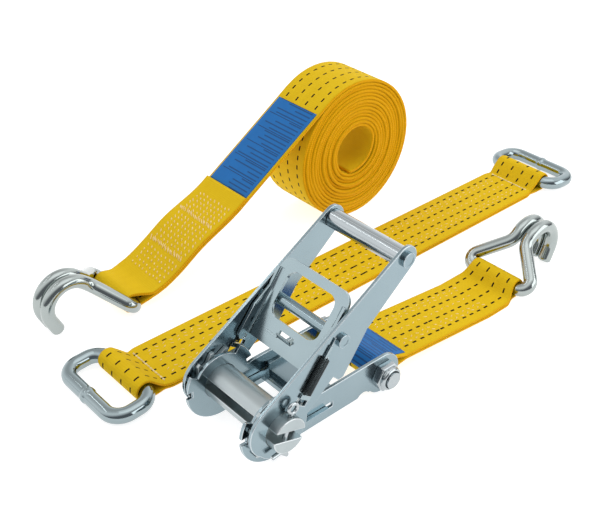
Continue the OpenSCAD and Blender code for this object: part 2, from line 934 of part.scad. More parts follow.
module hook() {
    line = concat(flip(hook_half_line(-1)), hook_half_line(1));
    tube(line, [for (p = line) hook_r], hook_sides, [0, 1, 0]);
    translate([0, loop_w / 2, 0])
        rotate([90, 0, 0])
            cylinder(r = hook_r + bar_skin, h = loop_w, $fn = 64);
}

module short_hook() {
    color(chrome)
        translate([short_hook_x, 0, hook_eye_z])
            rotate([0, -hook_tilt, 0])
                mirror([0, 0, 1])
                    hook();
}

// Long strap

// The roll's line winds inwards, turning over the top and down its far side
roll_line = concat(
    [for (i = [0:roll_steps])
        let (a = roll_start - 360 * i / roll_segments, r = roll_r - roll_pitch * i / roll_segments)
            roll_at + r * [cos(a), sin(a)]],
    [let (
        a = roll_start - 360 * roll_steps / roll_segments,
        r = roll_r - roll_pitch * roll_steps / roll_segments
    )
        roll_at + r * [cos(a), sin(a)] + flap_l * [cos(a - 90 - flap_turn), sin(a - 90 - flap_turn)]]
);
roll_least_gap = min([
    for (i = [0:roll_steps - roll_segments])
        norm(roll_line[i] - roll_line[i + roll_segments]) * cos(180 / roll_segments) - web_t
]);
echo(roll_least_gap_mm = roll_least_gap);

module long_roll() {
    color(yellow)
        webbing(long_y, web_w)
            polygon(ribbon(roll_line, -web_t / 2, web_t / 2));
}

long_hook_at = [long_hook_x, hook_eye_z];
tail_line = concat([long_hook_at], rounded(long_hook_at, tail_corner, leave_at, tail_bend_r, 8), [leave_at]);
sewn_line = concat(
    [long_hook_at],
    rounded(long_hook_at, tail_corner, leave_at, tail_bend_r, 8),
    [leave_at - (label_end_l + tail_label_l + label_room) * tail_dir]
);

// A single layer from the roll, folded back round the hook's bar and sewn to itself
module long_tail() {
    color(yellow)
        intersection() {
            webbing(long_y, 2 * web_w)
                difference() {
                    union() {
                        polygon(ribbon(tail_line, -web_t / 2, web_t / 2));
                        polygon(ribbon(sewn_line, 0, 3 * web_t / 2));
                        loop(long_hook_at, hook_eye_out,
                             long_hook_at + [2 * hook_eye_out, web_t / 2], web_t);
                    }
                    translate(long_hook_at)
                        circle(hook_eye_r, $fn = 64);
                }
            strap_plan(long_hook_x, loop_w, roll_x, web_w, long_y);
        }
}

module long_label() {
    end = leave_at - label_end_l * tail_dir;
    color(blue)
        webbing(long_y, label_w)
            polygon(ribbon([end - tail_label_l * tail_dir, end], web_t / 2, web_t / 2 + label_t));
}

module long_hook() {
    color(chrome)
        translate([long_hook_x, long_y, hook_eye_z])
            rotate([0, 0, 180])
                rotate([0, -hook_tilt, 0])
                    mirror([0, 0, 1])
                        hook();
}

// Link strap

// Two layers sewn together, round a ring's bar at each end
module link_strap() {
    near_at = [link_x, ring_eye_z];
    far_at = [link_far_x, ring_eye_z];
    flat_from = [link_x + seam_l, floor_line];
    flat_to = [link_far_x - seam_l, floor_line];
    color(yellow)
        intersection() {
            webbing(link_y, 2 * web_w)
                difference() {
                    union() {
                        polygon(ribbon([flat_from, flat_to], -web_t, web_t));
                        loop(near_at, ring_eye_out, flat_from, web_t);
                        loop(far_at, ring_eye_out, flat_to, web_t);
                    }
                    translate(near_at)
                        circle(ring_eye_r, $fn = 64);
                    translate(far_at)
                        circle(ring_eye_r, $fn = 64);
                }
            strap_plan(link_x, loop_w, link_far_x, loop_w, link_y);
        }
}

// A ring's wire, a closed oblong with round corners, thicker at the weld on its outer side
function ring_corner(c, i) = [
    for (p = rounded(c[(i + 3) % 4], c[i], c[(i + 1) % 4], ring_corner_r, 6))
        [p[0], p[1], 0]
];
ring_line = let (
    half_w = ring_mid_w / 2,
    c = [[0, -half_w], [0, half_w], [ring_mid_l, half_w], [ring_mid_l, -half_w]]
)
    concat(
        [[0, 0, 0]],
        ring_corner(c, 1),
        ring_corner(c, 2),
        [for (k = [2:-1:-2]) [ring_mid_l, k * weld_l / 4, 0]],
        ring_corner(c, 3),
        ring_corner(c, 0)
    );
function weld_share(p) = p[0] > ring_mid_l - eps && abs(p[1]) < weld_l / 4 + eps ? 1 : 0;

module ring() {
    tube(ring_line, [for (p = ring_line) ring_r + weld_bulge * weld_share(p)], ring_sides, [0, 0, 1], true);
    translate([0, loop_w / 2, 0])
        rotate([90, 0, 0])
            cylinder(r = ring_r + bar_skin, h = loop_w, $fn = 64);
}

module link_ring(end) {
    color(chrome)
        translate([end < 0 ? link_x : link_far_x, link_y, ring_eye_z])
            rotate([0, 0, end < 0 ? 180 : 0])
                rotate([0, ring_tilt, 0])
                    ring();
}

frame_plate(1);  // frame_plate_left
frame_plate(-1);  // frame_plate_right
anchor_bolt();
anchor_nut();
lock_pawl();
half_shaft(1);  // mandrel_upper
half_shaft(-1);  // mandrel_lower
ratchet_wheel(1);  // ratchet_wheel_left
ratchet_wheel(-1);  // ratchet_wheel_right
split_pin(1);  // split_pin_left
split_pin(-1);  // split_pin_right
handle_plate(1);  // handle_plate_left
handle_plate(-1);  // handle_plate_right
stop_rod();
grip_rivet();
grip_sleeve();
drive_pawl();
drive_spring(1);  // drive_spring_left
drive_spring(-1);  // drive_spring_right
short_strap();
short_label();
short_hook();
long_roll();
long_tail();
long_label();
long_hook();
link_strap();
link_ring(-1);  // link_ring_near
link_ring(1);  // link_ring_far
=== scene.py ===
import json
import logging
import math
import random
from dataclasses import dataclass, field
from enum import Enum
from typing import Callable, Sequence

import bmesh
import bpy
from bmesh.types import BMEdge, BMesh, BMFace
from bpy.types import Material, Mesh, NodeSocket, NodeTree, Object
from mathutils import Matrix, Vector


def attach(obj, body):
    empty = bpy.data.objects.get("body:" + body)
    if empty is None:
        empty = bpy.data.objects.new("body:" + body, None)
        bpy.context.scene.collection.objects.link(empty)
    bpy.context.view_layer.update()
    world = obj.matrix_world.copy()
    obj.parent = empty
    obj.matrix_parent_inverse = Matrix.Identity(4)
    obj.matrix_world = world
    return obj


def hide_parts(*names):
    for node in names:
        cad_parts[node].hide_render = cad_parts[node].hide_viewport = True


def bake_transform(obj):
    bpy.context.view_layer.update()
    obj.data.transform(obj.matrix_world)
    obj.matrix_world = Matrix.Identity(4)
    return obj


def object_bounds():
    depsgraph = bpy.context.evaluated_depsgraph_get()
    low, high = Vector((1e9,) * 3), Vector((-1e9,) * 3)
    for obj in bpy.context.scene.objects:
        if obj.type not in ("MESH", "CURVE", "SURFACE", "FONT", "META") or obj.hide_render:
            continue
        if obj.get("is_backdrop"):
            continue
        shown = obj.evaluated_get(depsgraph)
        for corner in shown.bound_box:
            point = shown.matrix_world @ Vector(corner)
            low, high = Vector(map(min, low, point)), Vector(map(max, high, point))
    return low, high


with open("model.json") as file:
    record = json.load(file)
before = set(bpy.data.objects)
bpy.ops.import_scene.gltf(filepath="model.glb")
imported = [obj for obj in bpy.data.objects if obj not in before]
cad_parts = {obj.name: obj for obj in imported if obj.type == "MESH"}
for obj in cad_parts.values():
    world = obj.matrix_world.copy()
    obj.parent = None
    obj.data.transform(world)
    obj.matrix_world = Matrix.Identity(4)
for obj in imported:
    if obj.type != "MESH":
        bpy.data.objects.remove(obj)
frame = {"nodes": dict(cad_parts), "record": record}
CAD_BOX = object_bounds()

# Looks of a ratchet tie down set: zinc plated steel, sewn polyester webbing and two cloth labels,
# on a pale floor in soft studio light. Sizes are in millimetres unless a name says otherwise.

MM = 0.001
FLOOR_Z = -27.0
BOLT = (95.0, -12.0)  # the anchor bolt's axis, x and z
PAWL_PATH = 51.6  # the drive pawl's path above the level, in degrees
STRAIGHT = 0.002  # a line that turns by less than this, in radians, has no corner
LEG = 0.49  # the most that a rounded corner takes of the lines beside it
LAY = "lay"
EDGE = "edge"
LOG = logging.getLogger("tie_down")
BODY_OF = {node: body for body, nodes in frame["record"]["behaviour"]["bodies"].items() for node in nodes}

Flat = tuple[float, float]
Triple = tuple[float, float, float]
Colour = tuple[float, float, float, float]
Finishes = dict[str, Material]
Inputs = dict[str, object]


def linear(colour: str) -> Colour:
    """Turns an sRGB hex colour to linear red, green, blue and alpha.

    Args:
        colour: six hex digits after a hash sign.

    Returns:
        The four linear values.
    """
    parts = [int(colour[i : i + 2], 16) / 255 for i in (1, 3, 5)]
    red, green, blue = (p / 12.92 if p <= 0.04045 else ((p + 0.055) / 1.055) ** 2.4 for p in parts)
    return red, green, blue, 1.0


def add_node(tree: NodeTree, kind: str, inputs: Inputs | tuple = (), out: str = "") -> NodeSocket | None:
    """Adds a node, sets its properties and inputs, and links the sockets among them.

    Args:
        tree: the material's or world's node tree.
        kind: the node's type without its prefix, then its operation or data type if it has one.
        inputs: its inputs in order, or properties and inputs by name.
        out: the wanted output's name, for another than the first.

    Returns:
        The wanted output, if the node has any.
    """
    kind, _, mode = kind.partition(" ")
    node = tree.nodes.new(f"ShaderNode{kind}")
    if mode:
        setattr(node, "operation" if hasattr(node, "operation") else "data_type", mode)
    in_order = [socket for socket in node.inputs if socket.enabled]
    for key, value in (inputs if isinstance(inputs, dict) else dict(enumerate(inputs))).items():
        if isinstance(key, str) and hasattr(node, key):
            setattr(node, key, value)
            continue
        socket = node.inputs[key] if isinstance(key, str) else in_order[key]
        if isinstance(value, NodeSocket):
            tree.links.new(value, socket)
        else:
            socket.default_value = value
    return node.outputs[out] if out else next((socket for socket in node.outputs if socket.enabled), None)


def new_material(name: str) -> tuple[Material, NodeTree]:
    """Starts a material with an empty node tree.

    Args:
        name: the real material's name.

    Returns:
        The material and its tree.
    """
    material = bpy.data.materials.new(name)
    material.use_nodes = True
    material.node_tree.nodes.clear()
    return material, material.node_tree


def end_tree(tree: NodeTree, inputs: Inputs) -> None:
    """Ends a material's tree with one Principled shader that takes these inputs."""
    add_node(tree, "OutputMaterial", (add_node(tree, "BsdfPrincipled", inputs),))


@dataclass(frozen=True)
class PlatedSteel:
    """Zinc plated steel: a cool bright skin with cloudy gloss, and edges rubbed lighter."""

    name: str
    colour: str
    tint: str
    roughness: float
    rubbed: str = "#EEF1F2"
    cloud: float = 22.0
    cloud_gloss: Flat = (0.92, 1.12)
    grain: float = 0.5
    grain_depth: float = 0.004

    def make(self) -> Material:
        """Makes the material.

        Returns:
            The material.
        """
        material, tree = new_material(self.name)
        at = add_node(tree, "TexCoord", out="Object")
        cloud = add_node(tree, "TexNoise", {"Scale": 1 / (self.cloud * MM), "Detail": 3.0, "Vector": at})
        skin = add_node(tree, "Mix RGBA", (cloud, linear(self.colour), linear(self.tint)))
        edge = add_node(tree, "Attribute", {"attribute_name": EDGE}, "Fac")
        worn = add_node(tree, "Mix RGBA", (edge, skin, linear(self.rubbed)))
        low, high = (share * self.roughness for share in self.cloud_gloss)
        gloss = add_node(tree, "MapRange", (cloud, 0.3, 0.7, low, high))
        grain = add_node(tree, "TexNoise", {"Scale": 1 / (self.grain * MM), "Detail": 2.0, "Vector": at})
        bump = add_node(tree, "Bump", {"Strength": 0.08, "Distance": self.grain_depth * MM, "Height": grain})
        end_tree(tree, {"Metallic": 1.0, "Base Color": worn, "Roughness": gloss, "Normal": bump})
        return material


class Face(Enum):
    """Sides of a length of webbing."""

    DASHED = "polyester webbing, marked face"
    PLAIN = "polyester webbing, plain face"
    SELVEDGE = "polyester webbing, selvedge"


@dataclass(frozen=True)
class Weave:
    """Woven polyester: matt yellow ribs with painted shade in the valleys between them, and four rows of black marker
    stitches on one face.
    """

    face: Face
    yellow: str = "#E0BD1B"
    shade: str = "#D5B012"
    # A deeper yellow, used both for painted shade in the valleys between the ribs and for the webbing's own darker
    # border
    deep: str = "#CC9C00"
    # Share of painted shade in the valleys between the ribs
    rib: float = 0.4
    black: str = "#100E0A"
    half_width: float = 25.0
    border: float = 1.6
    border_share: float = 0.55
    row_from_quarter: float = 5.85
    quarter: float = 11.7
    row_half: float = 0.75
    dash_pitch: float = 8.3
    dash_share: float = 0.47
    # The yarns stand 0.7 mm apart; they are drawn at about twice that so that they show
    warp: float = 1.5
    weft: float = 1.7
    weft_share: float = 0.6
    patch: float = 7.0
    streak: float = 0.25
    relief: float = 0.16

    def make(self) -> Material:
        """Makes the material, whose pattern follows the webbing's own map in metres.

        Returns:
            The material.
        """
        material, tree = new_material(self.face.value)
        lay = add_node(tree, "UVMap", {"uv_map": LAY})
        across = add_node(tree, "SeparateXYZ", (lay,), "X")
        along = across.node.outputs["Y"]
        waves = []
        for run, pitch in ((across, self.warp), (along, self.weft)):
            turn = add_node(tree, "Math MULTIPLY", (run, math.tau / (pitch * MM)))
            waves.append(add_node(tree, "Math SINE", (turn,)))
        over = add_node(tree, "Math MULTIPLY", (waves[0], waves[1]))
        rib = add_node(tree, "Math MULTIPLY_ADD", (waves[1], self.weft_share, over))
        top = 1 + self.weft_share
        height = add_node(tree, "MapRange", (rib, -top, top))
        streaks = add_node(tree, "Mapping", {"Vector": lay, "Scale": (1.0, self.streak, 1.0)})
        patch = add_node(tree, "TexNoise", {"Scale": 1 / (self.patch * MM), "Detail": 4.0, "Vector": streaks})
        colour = add_node(tree, "Mix RGBA", (patch, linear(self.yellow), linear(self.shade)))
        # Painted shade: the valleys between the ribs are darkened towards the deeper yellow
        low = add_node(tree, "MapRange", (height, 0.0, 0.6, self.rib, 0.0))
        side = add_node(tree, "Math ABSOLUTE", (across,))
        inner, outer = (self.half_width - self.border) * MM, self.half_width * MM
        border = add_node(tree, "MapRange", (side, inner, outer, 0.0, self.border_share))
        for share in (low, border):
            colour = add_node(tree, "Mix RGBA", (share, colour, linear(self.deep)))
        if self.face is Face.DASHED:
            colour = self.marked(tree, colour, side, along)
        bump = add_node(tree, "Bump", {"Strength": 0.55, "Distance": self.relief * MM, "Height": height})
        end_tree(tree, {"Roughness": 0.75, "Specular IOR Level": 0.1, "Base Color": colour, "Normal": bump})
        return material

    def marked(self, tree: NodeTree, colour: NodeSocket, side: NodeSocket, along: NodeSocket) -> NodeSocket:
        """Adds the four rows of black marker stitches to a colour.

        Args:
            tree: the material's node tree.
            colour: the ground colour.
            side: distance from the webbing's middle, in metres.
            along: distance along the webbing, in metres.

        Returns:
            The colour with the rows.
        """
        to_quarter = add_node(tree, "Math SUBTRACT", (side, self.quarter * MM))
        from_quarter = add_node(tree, "Math ABSOLUTE", (to_quarter,))
        row = add_node(tree, "Math COMPARE", (from_quarter, self.row_from_quarter * MM, self.row_half * MM))
        steps = add_node(tree, "Math DIVIDE", (along, self.dash_pitch * MM))
        step = add_node(tree, "Math FRACT", (steps,))
        dash = add_node(tree, "Math LESS_THAN", (step, self.dash_share))
        mark = add_node(tree, "Math MULTIPLY", (row, dash))
        return add_node(tree, "Mix RGBA", (mark, colour, linear(self.black)))


@dataclass(frozen=True)
class LabelCloth:
    """Coated blue label cloth: satin, finely woven, printed with plain rules and bars."""

    name: str = "coated label cloth"
    blue: str = "#106BB2"
    shade: str = "#0E61A4"
    ink: str = "#122C4E"
    patch: float = 9.0
    half_width: float = 23.0
    margin: float = 3.0
    rule_pitch: float = 15.0
    rule_share: float = 0.035
    bar_pitch: float = 3.75
    bar_share: float = 0.3
    bar_ends: Flat = (-6.0, 19.0)
    bar_ink: float = 0.65
    thread: float = 0.9

    def make(self) -> Material:
        """Makes the material, whose pattern follows the label's own map in metres.

        Returns:
            The material.
        """
        material, tree = new_material(self.name)
        lay = add_node(tree, "UVMap", {"uv_map": LAY})
        across = add_node(tree, "SeparateXYZ", (lay,), "X")
        along = across.node.outputs["Y"]
        patch = add_node(tree, "TexNoise", {"Scale": 1 / (self.patch * MM), "Detail": 3.0, "Vector": lay})
        ground = add_node(tree, "Mix RGBA", (patch, linear(self.blue), linear(self.shade)))
        side = add_node(tree, "Math ABSOLUTE", (across,))
        inside = add_node(tree, "Math LESS_THAN", (side, (self.half_width - self.margin) * MM))
        rule_step = add_node(tree, "Math DIVIDE", (along, self.rule_pitch * MM))
        rule_at = add_node(tree, "Math FRACT", (rule_step,))
        rule = add_node(tree, "Math LESS_THAN", (rule_at, self.rule_share))
        bar_step = add_node(tree, "Math DIVIDE", (along, self.bar_pitch * MM))
        bar_at = add_node(tree, "Math FRACT", (bar_step,))
        bar_line = add_node(tree, "Math COMPARE", (bar_at, 0.5, self.bar_share / 2))
        bar_number = add_node(tree, "Math FLOOR", (bar_step,))
        length = add_node(tree, "TexWhiteNoise", {"noise_dimensions": "1D", "W": bar_number})
        least, most = (end * MM for end in self.bar_ends)
        bar_end = add_node(tree, "MapRange", (length, 0.0, 1.0, least, most))
        short = add_node(tree, "Math LESS_THAN", (across, bar_end))
        bar = add_node(tree, "Math MULTIPLY", (bar_line, short))
        soft_bar = add_node(tree, "Math MULTIPLY", (bar, self.bar_ink))
        marks = add_node(tree, "Math MAXIMUM", (rule, soft_bar))
        print_on = add_node(tree, "Math MULTIPLY", (marks, inside))
        colour = add_node(tree, "Mix RGBA", (print_on, ground, linear(self.ink)))
        weave = add_node(tree, "TexChecker", {"Scale": 1 / (self.thread * MM), "Vector": lay}, "Fac")
        bump = add_node(tree, "Bump", {"Strength": 0.25, "Distance": 0.05 * MM, "Height": weave})
        end_tree(tree, {"Roughness": 0.55, "Specular IOR Level": 0.25, "Base Color": colour, "Normal": bump})
        return material


@dataclass(frozen=True)
class SewingThread:
    """Polyester thread: cream or pale yellow, its shade drifting a little from stitch to stitch."""

    name: str
    colour: str
    shade: str
    # One turn of the wave along each axis; a diagonal wave runs through 10 radians a metre at scale 1
    drift: float = 10.0531

    def make(self) -> Material:
        """Makes the material.

        Returns:
            The material.
        """
        material, tree = new_material(self.name)
        at = add_node(tree, "TexCoord", out="Object")
        wave = {"Scale": math.tau / (10 * self.drift * MM), "Distortion": 1.5, "bands_direction": "DIAGONAL"}
        drift = add_node(tree, "TexWave", {"Vector": at, **wave}, "Fac")
        colour = add_node(tree, "Mix RGBA", (drift, linear(self.colour), linear(self.shade)))
        bump = add_node(tree, "Bump", {"Strength": 0.3, "Distance": 0.05 * MM, "Height": drift})
        end_tree(tree, {"Roughness": 0.6, "Sheen Weight": 0.2, "Base Color": colour, "Normal": bump})
        return material


@dataclass(frozen=True)
class LightTable:
    """White acrylic lit from below: it takes only faint shadows and lights the pieces' sides."""

    name: str = "lit white acrylic"
    white: str = "#BDBDBD"
    shade: str = "#BABABB"
    mottle: float = 40.0
    glow: float = 0.78

    def make(self) -> Material:
        """Makes the material.

        Returns:
            The material.
        """
        material, tree = new_material(self.name)
        at = add_node(tree, "TexCoord", out="Object")
        mottle = add_node(tree, "TexNoise", {"Scale": 1 / (self.mottle * MM), "Detail": 2.0, "Vector": at})
        colour = add_node(tree, "Mix RGBA", (mottle, linear(self.white), linear(self.shade)))
        light = {"Emission Color": (1.0, 1.0, 1.0, 1.0), "Emission Strength": self.glow}
        end_tree(tree, {"Roughness": 0.9, "Specular IOR Level": 0.1, "Base Color": colour, **light})
        return material


def place(mesh: Mesh, name: str, materials: Sequence[Material]) -> Object:
    """Puts a finished mesh in the scene with its materials.

    Args:
        mesh: the mesh, whose place is in its vertices.
        name: the piece's name.
        materials: its materials, in slot order.

    Returns:
        The object.
    """
    mesh.name = name
    for material in materials:
        mesh.materials.append(material)
    piece = bpy.data.objects.new(name, mesh)
    bpy.context.scene.collection.objects.link(piece)
    LOG.info("%s: %d faces", name, len(mesh.polygons))
    return piece


def stand_for(piece: Object, *nodes: str) -> None:
    """Hides the CAD nodes that a piece stands for."""
    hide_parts(*nodes)


def ride_for(piece: Object, *nodes: str) -> None:
    """Puts a piece on the first CAD node's body, where it stands for all of the nodes."""
    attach(piece, BODY_OF[nodes[0]])
    stand_for(piece, *nodes)


def to_mesh(bm: BMesh, sharp: float = 40.0) -> Mesh:
    """Ends a bmesh as a smooth shaded mesh with sharp edges where it folds.

    Args:
        bm: the bmesh, freed here.
        sharp: the least angle of a sharp edge, in degrees.

    Returns:
        The mesh.
    """
    for face in bm.faces:
        face.smooth = True
    mesh = bpy.data.meshes.new("piece")
    bm.to_mesh(mesh)
    bm.free()
    mesh.set_sharp_from_angle(angle=math.radians(sharp))
    return mesh


def round_edges(bm: BMesh, edges: list[BMEdge], width: float, segments: int = 3, clamp: bool = False) -> list[BMFace]:
    """Rounds some edges.

    Args:
        bm: the bmesh.
        edges: its edges to round.
        width: the width of the rounding.
        segments: how many faces the rounding takes.
        clamp: whether roundings stop where they meet.

    Returns:
        The new faces.
    """
    made = bmesh.ops.bevel(
        bm, geom=edges, offset=width * MM, offset_type="OFFSET", affect="EDGES", segments=segments,
        profile=0.5, material=-1, clamp_overlap=clamp,
    )
    return made["faces"]


def arc(centre: Flat, radius: float, start: float, end: float, steps: int = 16) -> list[Flat]:
    """Points of an arc in side view, from one angle to another in degrees, ends included."""
    turns = [math.radians(start + (end - start) * i / steps) for i in range(steps + 1)]
    return [(centre[0] + radius * math.cos(a), centre[1] + radius * math.sin(a)) for a in turns]


def touch(centre: Flat, radius: float, point: Flat, side: int) -> float:
    """Angle in degrees where a line from a point touches a circle, counter-clockwise of the point for side 1."""
    gap = (point[0] - centre[0], point[1] - centre[1])
    return math.degrees(math.atan2(gap[1], gap[0]) + side * math.acos(radius / math.hypot(*gap)))


def eased(points: Sequence[Flat], radius: float, steps: int = 6) -> list[Flat]:
    """Rounds the corners of an open line.

    Args:
        points: the line's corners.
        radius: the corners' radius.
        steps: how many steps each corner takes.

    Returns:
        The line with round corners.
    """
    line = [points[0]]
    for before, corner, after in zip(points, points[1:], points[2:]):
        b, c, a = Vector(before), Vector(corner), Vector(after)
        u, v = (b - c).normalized(), (a - c).normalized()
        half = u.angle(v) / 2
        if math.pi - 2 * half < STRAIGHT:
            line.append(corner)
            continue
        reach = min(radius / math.tan(half), LEG * (b - c).length, LEG * (a - c).length)
        for i in range(steps + 1):
            t = i / steps
            p = (1 - t) ** 2 * (c + u * reach) + 2 * t * (1 - t) * c + t**2 * (c + v * reach)
            line.append((p.x, p.y))
    line.append(points[-1])
    return line


def smoothstep(low: float, high: float, x: float) -> float:
    """A smooth rise from 0 at low to 1 at high."""
    t = min(max((x - low) / (high - low), 0.0), 1.0)
    return t * t * (3 - 2 * t)


@dataclass
class Band:
    """A length of webbing or label cloth laid along a line that is seen from the side."""

    name: str
    line: list[Flat]
    middle: float
    width: Callable[[Vector], float]
    thickness: float
    full_width: float = 50.0
    closed: bool = False
    step: float = 1.5
    sway: Callable[[float], float] = lambda v: 0.0
    billow: Callable[[float, Vector], float] = lambda u, at: 0.0
    columns: tuple[float, ...] = (-1, -0.975, -0.92, -0.7, -0.45, -0.2, 0, 0.2, 0.45, 0.7, 0.92, 0.975, 1)
    edge_from: float = 0.93
    edge_share: float = 0.55
    fullness: Callable[[float], float] = lambda v: 1.0
    fold_angle: float = 75.0
    stations: list[float] = field(init=False)
    places: list[Vector] = field(init=False)

    def __post_init__(self) -> None:
        """Spaces the line's points evenly and keeps each one's distance along it."""
        corners = [Vector(p) for p in self.line]
        if self.closed:
            corners.append(corners[0].copy())
        marks = [0.0]
        for a, b in zip(corners, corners[1:]):
            marks.append(marks[-1] + (b - a).length)
        count = max(4, math.ceil(marks[-1] / self.step))
        self.stations = [marks[-1] * i / count for i in range(count + 1)]
        self.places = []
        k = 0
        for s in self.stations:
            while k < len(marks) - 2 and marks[k + 1] < s:
                k += 1
            t = (s - marks[k]) / max(marks[k + 1] - marks[k], 1e-9)
            self.places.append(corners[k].lerp(corners[k + 1], t))

    @property
    def length(self) -> float:
        """Length along the line."""
        return self.stations[-1]

    def axes(self, i: int) -> tuple[Vector, Vector]:
        """Direction along the line at a station, and the normal on its right.

        Args:
            i: the station's number.

        Returns:
            The direction and the normal, in side view.
        """
        last = len(self.places) - 1
        before = self.places[i - 1] if i > 0 else self.places[last - 1 if self.closed else 0]
        after = self.places[i + 1] if i < last else self.places[1 if self.closed else last]
        ahead = (after - before).normalized()
        return ahead, Vector((ahead.y, -ahead.x))

    def spot(self, u: float, v: float, lift: float = 0.0) -> tuple[Vector, Vector, Vector]:
        """A point on the band with its axes.

        Args:
            u: place across, from -1 to 1.
            v: distance along.
            lift: height above the band's middle, on its right.

        Returns:
            The point in metres, the direction along the band and its normal.
        """
        share = v / self.length * (len(self.places) - 1)
        i = min(max(int(share), 0), len(self.places) - 2)
        t = share - i
        flat = self.places[i].lerp(self.places[i + 1], t)
        (ahead, right), (next_ahead, next_right) = self.axes(i), self.axes(i + 1)
        ahead, right = ahead.lerp(next_ahead, t).normalized(), right.lerp(next_right, t).normalized()
        y = self.middle + self.sway(v) + u * self.width(flat) / 2
        flat = flat + right * lift + Vector((0, self.billow(u, flat)))
        return Vector((flat.x, y, flat.y)) * MM, Vector((ahead.x, 0, ahead.y)), Vector((right.x, 0, right.y))

    def nearest(self, x: float, z: float) -> float:
        """Distance along the band at which it comes nearest to a point in side view."""
        gaps = [(place - Vector((x, z))).length for place in self.places]
        return self.stations[gaps.index(min(gaps))]

    def build(self, materials: Sequence[Material], *nodes: str) -> Object:
        """Builds the band as a sheet with thickness and softly thinned edges.

        Args:
            materials: the face on the line's right, the other face and the rim.
            nodes: the CAD nodes that it stands for.

        Returns:
            The object.
        """
        rows, across = len(self.stations) - 1, len(self.columns) - 1
        bm = bmesh.new()
        bmesh.ops.create_grid(bm, x_segments=across, y_segments=rows, size=0.5)
        lay = bm.loops.layers.uv.new(LAY)
        weight = bm.verts.layers.deform.verify()
        steps = {v: (round((v.co.x + 0.5) * across), round((v.co.y + 0.5) * rows)) for v in bm.verts}
        for face in bm.faces:
            for loop in face.loops:
                column, row = steps[loop.vert]
                loop[lay].uv = (self.columns[column] * self.full_width / 2 * MM, self.stations[row] * MM)
        for vert, (column, row) in steps.items():
            u = self.columns[column]
            edge = 1 - (1 - self.edge_share) * smoothstep(self.edge_from, 1.0, abs(u))
            vert[weight][0] = edge * self.fullness(self.stations[row])
            vert.co = self.spot(u, self.stations[row])[0]
        if self.closed:
            bmesh.ops.remove_doubles(bm, verts=bm.verts, dist=MM / 1000)
        piece = place(to_mesh(bm, self.fold_angle), self.name, materials)
        piece.vertex_groups.new(name="full")
        shell = piece.modifiers.new("thickness", "SOLIDIFY")
        shell.thickness = self.thickness * MM
        shell.offset = 0.0
        shell.use_even_offset = True
        shell.vertex_group = "full"
        shell.material_offset = 1
        shell.material_offset_rim = 2
        ride_for(piece, *nodes)
        return piece


@dataclass
class Stitching:
    """Rows of stitches that lie on a band."""

    name: str
    band: Band
    lift: float
    thread: float = 0.75
    rows: tuple[float, ...] = (-14.5, -11.0, 0.0, 11.0, 14.5)
    zigzag_pitch: float = 6.2
    zigzag_slant: float = 24.0
    zigzag_length: float = 3.6
    zigzag_shift: float = 0.25
    zigzag_waver: float = 0.3
    slant: float = 40.0
    slant_half: float = 20.0
    slant_pitch: float = 4.2
    stray: float = 0.6
    stray_turn: float = 10.0
    stray_length: Flat = (0.8, 1.15)
    bar_overlap: float = 1.12
    marks: list[tuple[float, float, float, float]] = field(default_factory=list)

    def bar(self, v: float, half: float, count: int) -> None:
        """Adds a close row of stitches across the band.

        Args:
            v: its distance along the band.
            half: half its length.
            count: how many stitches it has.
        """
        pitch = 2 * half / count
        for i in range(count):
            self.marks.append((-half + (i + 0.5) * pitch, v, 90.0, self.bar_overlap * pitch))

    def zigzag(self, v0: float, v1: float) -> None:
        """Adds zigzag rows along the band, a little uneven.

        Args:
            v0: where they start along the band.
            v1: where they end.
        """
        count = int(abs(v1 - v0) / self.zigzag_pitch)
        for k, u in enumerate(self.rows):
            for i in range(count):
                v = min(v0, v1) + (i + 0.5 + self.zigzag_shift * (k % 2)) * self.zigzag_pitch
                turn = self.zigzag_slant if i % 2 else -self.zigzag_slant
                self.marks.append((u + self.zigzag_waver * math.sin(1.3 * i + k), v, turn, self.zigzag_length))

    def slanted(self, v0: float, v1: float, pitch: float, length: float) -> None:
        """Adds rows across the band of stitches that all lie at one slant, a little uneven by hand.

        Args:
            v0: where the rows start along the band.
            v1: where they end.
            pitch: the distance between two stitches of a row.
            length: a stitch's length.
        """
        draw = random.Random(round(v0))
        for k in range(int((v1 - v0) / self.slant_pitch) + 1):
            for i in range(int(2 * self.slant_half / pitch) + 1):
                u = -self.slant_half + i * pitch + draw.uniform(-self.stray, self.stray)
                v = v0 + k * self.slant_pitch + draw.uniform(-self.stray, self.stray)
                turn = self.slant + draw.uniform(-self.stray_turn, self.stray_turn)
                self.marks.append((u, v, turn, length * draw.uniform(*self.stray_length)))

    def build(self, material: Material, body: str) -> Object:
        """Builds every stitch as a small raised loop of thread.

        Args:
            material: the thread.
            body: the CAD body that it rides on.

        Returns:
            The object.
        """
        bm = bmesh.new()
        way = 1 if self.lift > 0 else -1
        for u, v, turn, length in self.marks:
            at, ahead, up = self.band.spot(2 * u / self.band.full_width, v, self.lift)
            up = up * way
            aside = up.cross(ahead)
            a = math.radians(turn)
            long_axis = ahead * math.cos(a) + aside * math.sin(a)
            wide_axis = up.cross(long_axis)
            shape = Matrix((long_axis, wide_axis, up)).transposed().to_4x4()
            size = Matrix.Diagonal((length / 2 * MM, self.thread / 2 * MM, self.thread / 2 * MM, 1))
            bmesh.ops.create_icosphere(bm, subdivisions=1, radius=1.0, matrix=Matrix.Translation(at) @ shape @ size)
        piece = place(to_mesh(bm, sharp=180.0), self.name, [material])
        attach(piece, body)
        return piece


